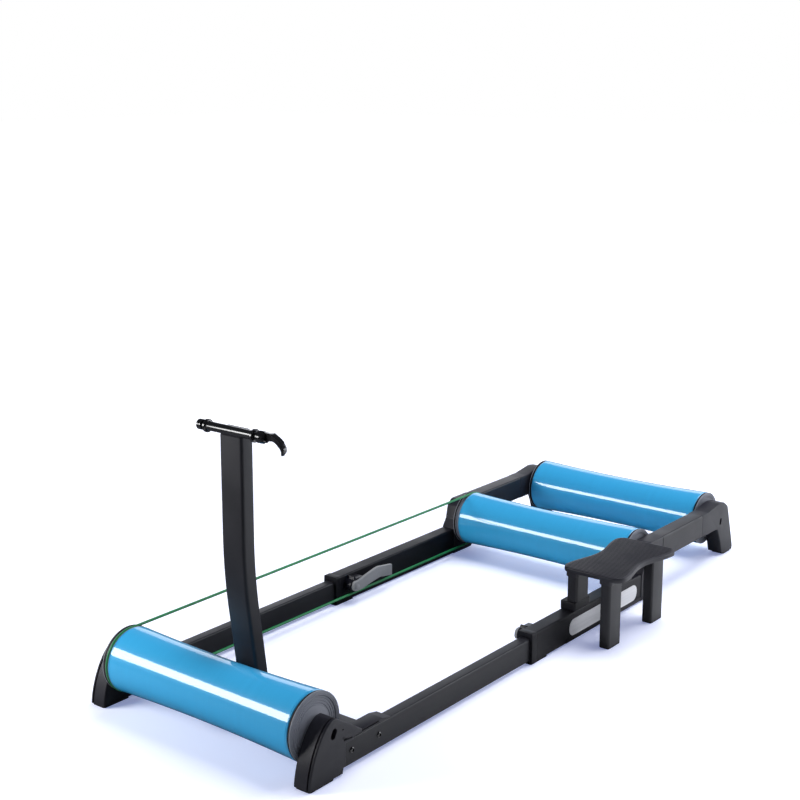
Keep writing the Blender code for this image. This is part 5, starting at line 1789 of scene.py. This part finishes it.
@dataclass
class Step:
    """The step: a ribbed plate, two legs on saddles over the sleeve and two on the floor."""

    waist: float = 0.090
    corner: float = 0.018
    rim: float = 0.0022
    rim_under: float = 0.0012
    rib_pitch: float = 0.0056
    rib_width: float = 0.0026
    rib_height: float = 0.0007
    rib_root: float = 0.002
    rib_edge: float = 0.0006
    rib_margin: float = 0.0055
    leg_corner: float = 0.004
    wall: float = 0.002
    collar: float = 0.0022
    collar_corner: float = 0.005
    collar_edge: float = 0.0007
    shoe: float = 0.003
    socket: float = 0.009
    saddle_corner: float = 0.003
    saddle_edge: float = 0.0014

    def __post_init__(self) -> None:
        """Read the places from the frame."""
        self.plate = Box.of("step_plate")
        self.centre = self.plate.middle
        self.half_length = self.plate.size.y / 2
        self.half_end = self.plate.size.x / 2

    def half_width(self, along: float) -> float:
        """Half the plate's width at a distance from its middle, before its corners."""
        share = min(1.0, abs(along) / (self.half_length - self.corner))
        waist = self.waist / 2
        return waist + (self.half_end - waist) * (1 - math.cos(math.pi * share)) / 2

    def plan(self, inset: float) -> Outline:
        """The plate's outline from above."""
        reach = self.half_length - self.corner
        flank = [(self.half_width(reach * share) - inset, reach * share)
                 for share in (step / 16 - 1 for step in range(33))]
        quarter = arc((self.half_end - self.corner, reach), self.corner - inset, 0.0,
                      math.pi / 2, 10)[1:]
        right = [(a, -b) for a, b in reversed(quarter)] + flank + quarter
        return [(self.centre.x + a, self.centre.y + b)
                for a, b in right + [(-a, -b) for a, b in right]]

    def build_plate(self) -> None:
        """The plate with its rounded rim and the ribs across its top."""
        low, high = self.plate.low.z, self.plate.high.z
        top = high - self.rib_height
        plate = Workpiece.slab("step_board", Axis.Z, self.plan(0.0), low, top)
        plate.round_rims(Axis.Z, self.rim, 4, [top])
        plate.round_rims(Axis.Z, self.rim_under, 2, [low])
        plate.finish(MOULDED_BLACK, "step_plate")
        count = int((self.half_length - self.rib_margin) / self.rib_pitch)
        deselect_all()
        bpy.ops.mesh.primitive_cube_add(size=1.0)
        ribs = Workpiece(bpy.context.object)
        ribs.piece.name = "step_tread_ribs"
        with editing(ribs.piece):
            pick_all()
            bpy.ops.mesh.delete(type="VERT")
            for number in range(-count, count + 1):
                along = number * self.rib_pitch
                past = max(0.0, abs(along) - (self.half_length - self.corner))
                turn = self.corner - math.sqrt(max(0.0, self.corner ** 2 - past ** 2))
                half = self.half_width(along) - self.rib_margin - turn
                bpy.ops.mesh.primitive_cube_add(
                    size=1.0,
                    location=(self.centre.x, self.centre.y + along, high - self.rib_root / 2),
                    scale=(2 * half, self.rib_width, self.rib_root))
            bpy.ops.mesh.select_all(action="DESELECT")
            bpy.ops.mesh.select_mode(type="EDGE")
            ribs.pick_edges(lambda one, other: min(one.z, other.z) > high - GAP)
            bpy.ops.mesh.bevel(offset=self.rib_edge, segments=2, affect="EDGES")
        ribs.finish(MOULDED_BLACK, rides_with="step_plate")

    def build_legs(self) -> None:
        """The four tubes, a socket under the plate for each, and shoes on the outer two."""
        for place in ("inner", "outer"):
            for end in ("front", "rear"):
                node = f"step_{place}_leg_{end}"
                room = Box.of(node)
                low = room.low.z + (self.shoe if place == "outer" else 0.0)
                section = hollow_section(*room.section(Axis.Z), self.leg_corner, self.wall,
                                         self.leg_corner / 2)
                leg = Workpiece.tube(f"leg_{place}_{end}", Axis.Z, *section, low, room.high.z)
                leg.finish(FRAME_PAINT, node)
                around = hollow_section(*room.section(Axis.Z, self.collar), self.collar_corner,
                                        self.collar - GAP, self.leg_corner)
                socket = Workpiece.tube(f"leg_socket_{place}_{end}", Axis.Z, *around,
                                        room.high.z - self.socket, room.high.z)
                socket.round_rims(Axis.Z, self.collar_edge, 2, [room.high.z - self.socket])
                socket.finish(MOULDED_BLACK, rides_with="step_plate")
                if place == "outer":
                    shoe = Workpiece.slab(f"leg_shoe_{end}", Axis.Z, section[0], 0.0,
                                          self.shoe - GAP)
                    shoe.round_rims(Axis.Z, self.rim_under, 3, [0.0])
                    shoe.finish(RUBBER, rides_with="step_plate")

    def build_saddles(self) -> None:
        """The blocks that carry the inner legs on the sleeve."""
        for end in ("front", "rear"):
            node = f"step_saddle_{end}"
            room = Box.of(node)
            plan = rectangle(*room.section(Axis.Z), self.saddle_corner)
            block = Workpiece.slab(f"leg_saddle_{end}", Axis.Z, plan, *room.span(Axis.Z))
            block.round_rims(Axis.Z, self.saddle_edge, 3)
            block.finish(SLEEVE_BLACK, node)

    def build(self) -> None:
        """Model and dress the step."""
        self.build_plate()
        self.build_legs()
        self.build_saddles()
        log.info("step built")


# The room


COOL = (0.92, 0.94, 1.0)


@dataclass(frozen=True)
class Lamp:
    """A soft area lamp that looks at a point."""

    name: str
    place: tuple[float, float, float]
    target: tuple[float, float, float]
    size: tuple[float, float]
    power: float
    colour: Colour = (1.0, 1.0, 1.0)
    lights: bool = True
    shines: bool = True

    def hang(self) -> None:
        """Add the lamp to the scene."""
        data = bpy.data.lights.new(self.name, "AREA")
        data.shape = "RECTANGLE"
        data.size, data.size_y = self.size
        data.energy = self.power
        data.color = self.colour
        lamp = bpy.data.objects.new(self.name, data)
        bpy.context.scene.collection.objects.link(lamp)
        lamp.location = self.place
        way = Vector(self.target) - Vector(self.place)
        lamp.rotation_euler = way.to_track_quat("-Z", "Y").to_euler()
        lamp.visible_camera = False
        lamp.visible_diffuse = self.lights
        lamp.visible_glossy = self.shines


@dataclass(frozen=True)
class Studio:
    """A pale floor with a painted blue shadow tint and painted reflections, soft lamps and the
    camera.
    """

    floor_size: float = 40.0
    floor_seen: Colour = (0.88, 0.88, 0.88)
    floor_bounce: Colour = (0.74, 0.76, 0.80)
    # In reflections the floor is painted: dark, a painted shade that keeps the parts' front faces
    # black, and bright to the right of and behind the trainer, a painted sheen on their right
    # faces.
    floor_dim: Colour = (0.09, 0.09, 0.10)
    floor_sheen: Colour = (1.0, 1.0, 1.0)
    sheen_start: float = 0.05
    sheen_end: float = 0.32
    sheen_front: float = -0.9
    sheen_back: float = -0.6
    # Near the trainer, camera rays see the floor glow in this blue: a painted blue tint in its
    # shadow.
    shade_glow: Colour = (0.20, 0.23, 0.40)
    glow_start: float = 1.0
    glow_end: float = 2.2
    sky: Colour = (0.85, 0.90, 1.0)
    sky_light: float = 0.08
    camera_place: tuple[float, float, float] = (1.395875, -1.94925, 0.9747)
    yaw: float = math.radians(38.749)
    pitch: float = math.radians(-13.273)
    roll: float = math.radians(0.219)
    lens: float = 64.12
    sensor: float = 36.0
    view_range: float = 100.0

    def seen_directly(self, sketch: Sketch) -> bpy.types.NodeSocket:
        """1 for a ray from the camera, or through glass, and else 0."""
        path = sketch.node("LightPath")
        return sketch.math("MAXIMUM", path.outputs["Is Camera Ray"],
                           path.outputs["Is Transmission Ray"])

    def lay_floor(self) -> None:
        """The floor keeps the object's soft shadow, tinted by a painted blue glow, and is plain
        white away from it.
        """
        deselect_all()
        bpy.ops.mesh.primitive_plane_add(size=self.floor_size, location=(0, 0, 0))
        floor = bpy.context.object
        floor.name = "floor"
        made = bpy.data.materials.new("pale_floor")
        made.use_nodes = True
        made.node_tree.nodes.clear()
        sketch = Sketch(made.node_tree)
        seen = self.seen_directly(sketch)
        # Camera rays see a painted blue glow near the trainer that tints its shadow, turning plain
        # white far away.
        away = sketch.node("VectorMath", {"operation": "LENGTH"},
                           in0=sketch.node("TexCoord").outputs["Object"])
        far = sketch.ranged(away.outputs["Value"], self.glow_start, self.glow_end, 0.0, 1.0)
        glow = sketch.mixed(far, (*self.shade_glow, 1.0), (1.0, 1.0, 1.0, 1.0))
        # Reflections see the floor as painted sheen to the right of and behind the trainer, and as
        # painted shade elsewhere.
        spot = sketch.node("SeparateXYZ", None,
                           Vector=sketch.node("TexCoord").outputs["Object"])
        right = sketch.ranged(spot.outputs["X"], self.sheen_start, self.sheen_end, 0.0, 1.0)
        behind = sketch.ranged(spot.outputs["Y"], self.sheen_front, self.sheen_back, 0.0, 1.0)
        mirrored = sketch.mixed(sketch.math("MULTIPLY", right, behind),
                                (*self.floor_dim, 1.0), (*self.floor_sheen, 1.0))
        soft = sketch.node("LightPath").outputs["Is Diffuse Ray"]
        unseen = sketch.mixed(soft, mirrored, (*self.floor_bounce, 1.0))
        base = sketch.mixed(seen, unseen, (*self.floor_seen, 1.0))
        shader = sketch.node("BsdfPrincipled", None, Base_Color=base, Roughness=0.9,
                             Emission_Color=glow, Emission_Strength=seen)
        shader.inputs["Specular IOR Level"].default_value = 0.0
        output = sketch.node("OutputMaterial")
        sketch.link(shader.outputs["BSDF"], output.inputs["Surface"])
        floor.data.materials.append(made)

    def light_sky(self) -> None:
        """White where it is seen, and a soft cool light elsewhere."""
        world = bpy.data.worlds.new("studio_world")
        bpy.context.scene.world = world
        world.use_nodes = True
        world.node_tree.nodes.clear()
        sketch = Sketch(world.node_tree)
        seen = self.seen_directly(sketch)
        colour = sketch.mixed(seen, (*self.sky, 1.0), (1.0, 1.0, 1.0, 1.0))
        strength = sketch.ranged(seen, 0.0, 1.0, self.sky_light, 1.0)
        shader = sketch.node("Background", None, Color=colour, Strength=strength)
        output = sketch.node("OutputWorld")
        sketch.link(shader.outputs["Background"], output.inputs["Surface"])

    def place_camera(self) -> None:
        """The camera stands where the photograph was taken."""
        data = bpy.data.cameras.new("camera")
        data.lens = self.lens
        data.sensor_width = self.sensor
        data.clip_end = self.view_range
        camera = bpy.data.objects.new("camera", data)
        bpy.context.scene.collection.objects.link(camera)
        turn = (Matrix.Rotation(self.yaw, 4, "Z")
                @ Matrix.Rotation(math.pi / 2 + self.pitch, 4, "X")
                @ Matrix.Rotation(-self.roll, 4, "Z"))
        camera.matrix_world = Matrix.Translation(self.camera_place) @ turn
        bpy.context.scene.camera = camera

    def build(self) -> None:
        """Set up the room."""
        self.lay_floor()
        self.light_sky()
        self.place_camera()
        for lamp in (
            Lamp("overhead", (0.2, 0.8, 2.4), (0.0, 0.0, 0.0), (1.7, 1.7), 68.0, COOL,
                 shines=False),
            Lamp("right_back", (1.7, 2.0, 1.0), (0.1, 0.0, 0.05), (2.4, 1.6), 46.0, COOL),
            Lamp("left_back", (-1.8, 2.3, 0.95), (0.0, 0.0, 0.05), (3.2, 1.2), 18.0, COOL),
            Lamp("left_front", (-0.995, -1.452, 0.65), (-0.05, 0.0, 0.12), (0.7, 0.45), 22.0,
                 shines=False),
            Lamp("stripe", (-0.995, -1.452, 0.62), (-0.05, 0.0, 0.12), (0.70, 0.45), 12.0,
                 lights=False),
        ):
            lamp.hang()
        bpy.context.scene.view_settings.view_transform = "Standard"
        log.info("studio set up")


def main() -> None:
    """Build every sub-assembly, then the room round them."""
    logging.basicConfig(level=logging.INFO, format="%(name)s: %(message)s")
    Studio().build()
    for title in ("front_roller", "middle_roller", "rear_roller"):
        Roller(title).build()
    for assembly in (FrontFrame(), Post(), ForkMount(), Sleeve(), Clamp(), RearFrame(), Step(),
                     Belt()):
        assembly.build()


if __name__ == "__main__":
    main()
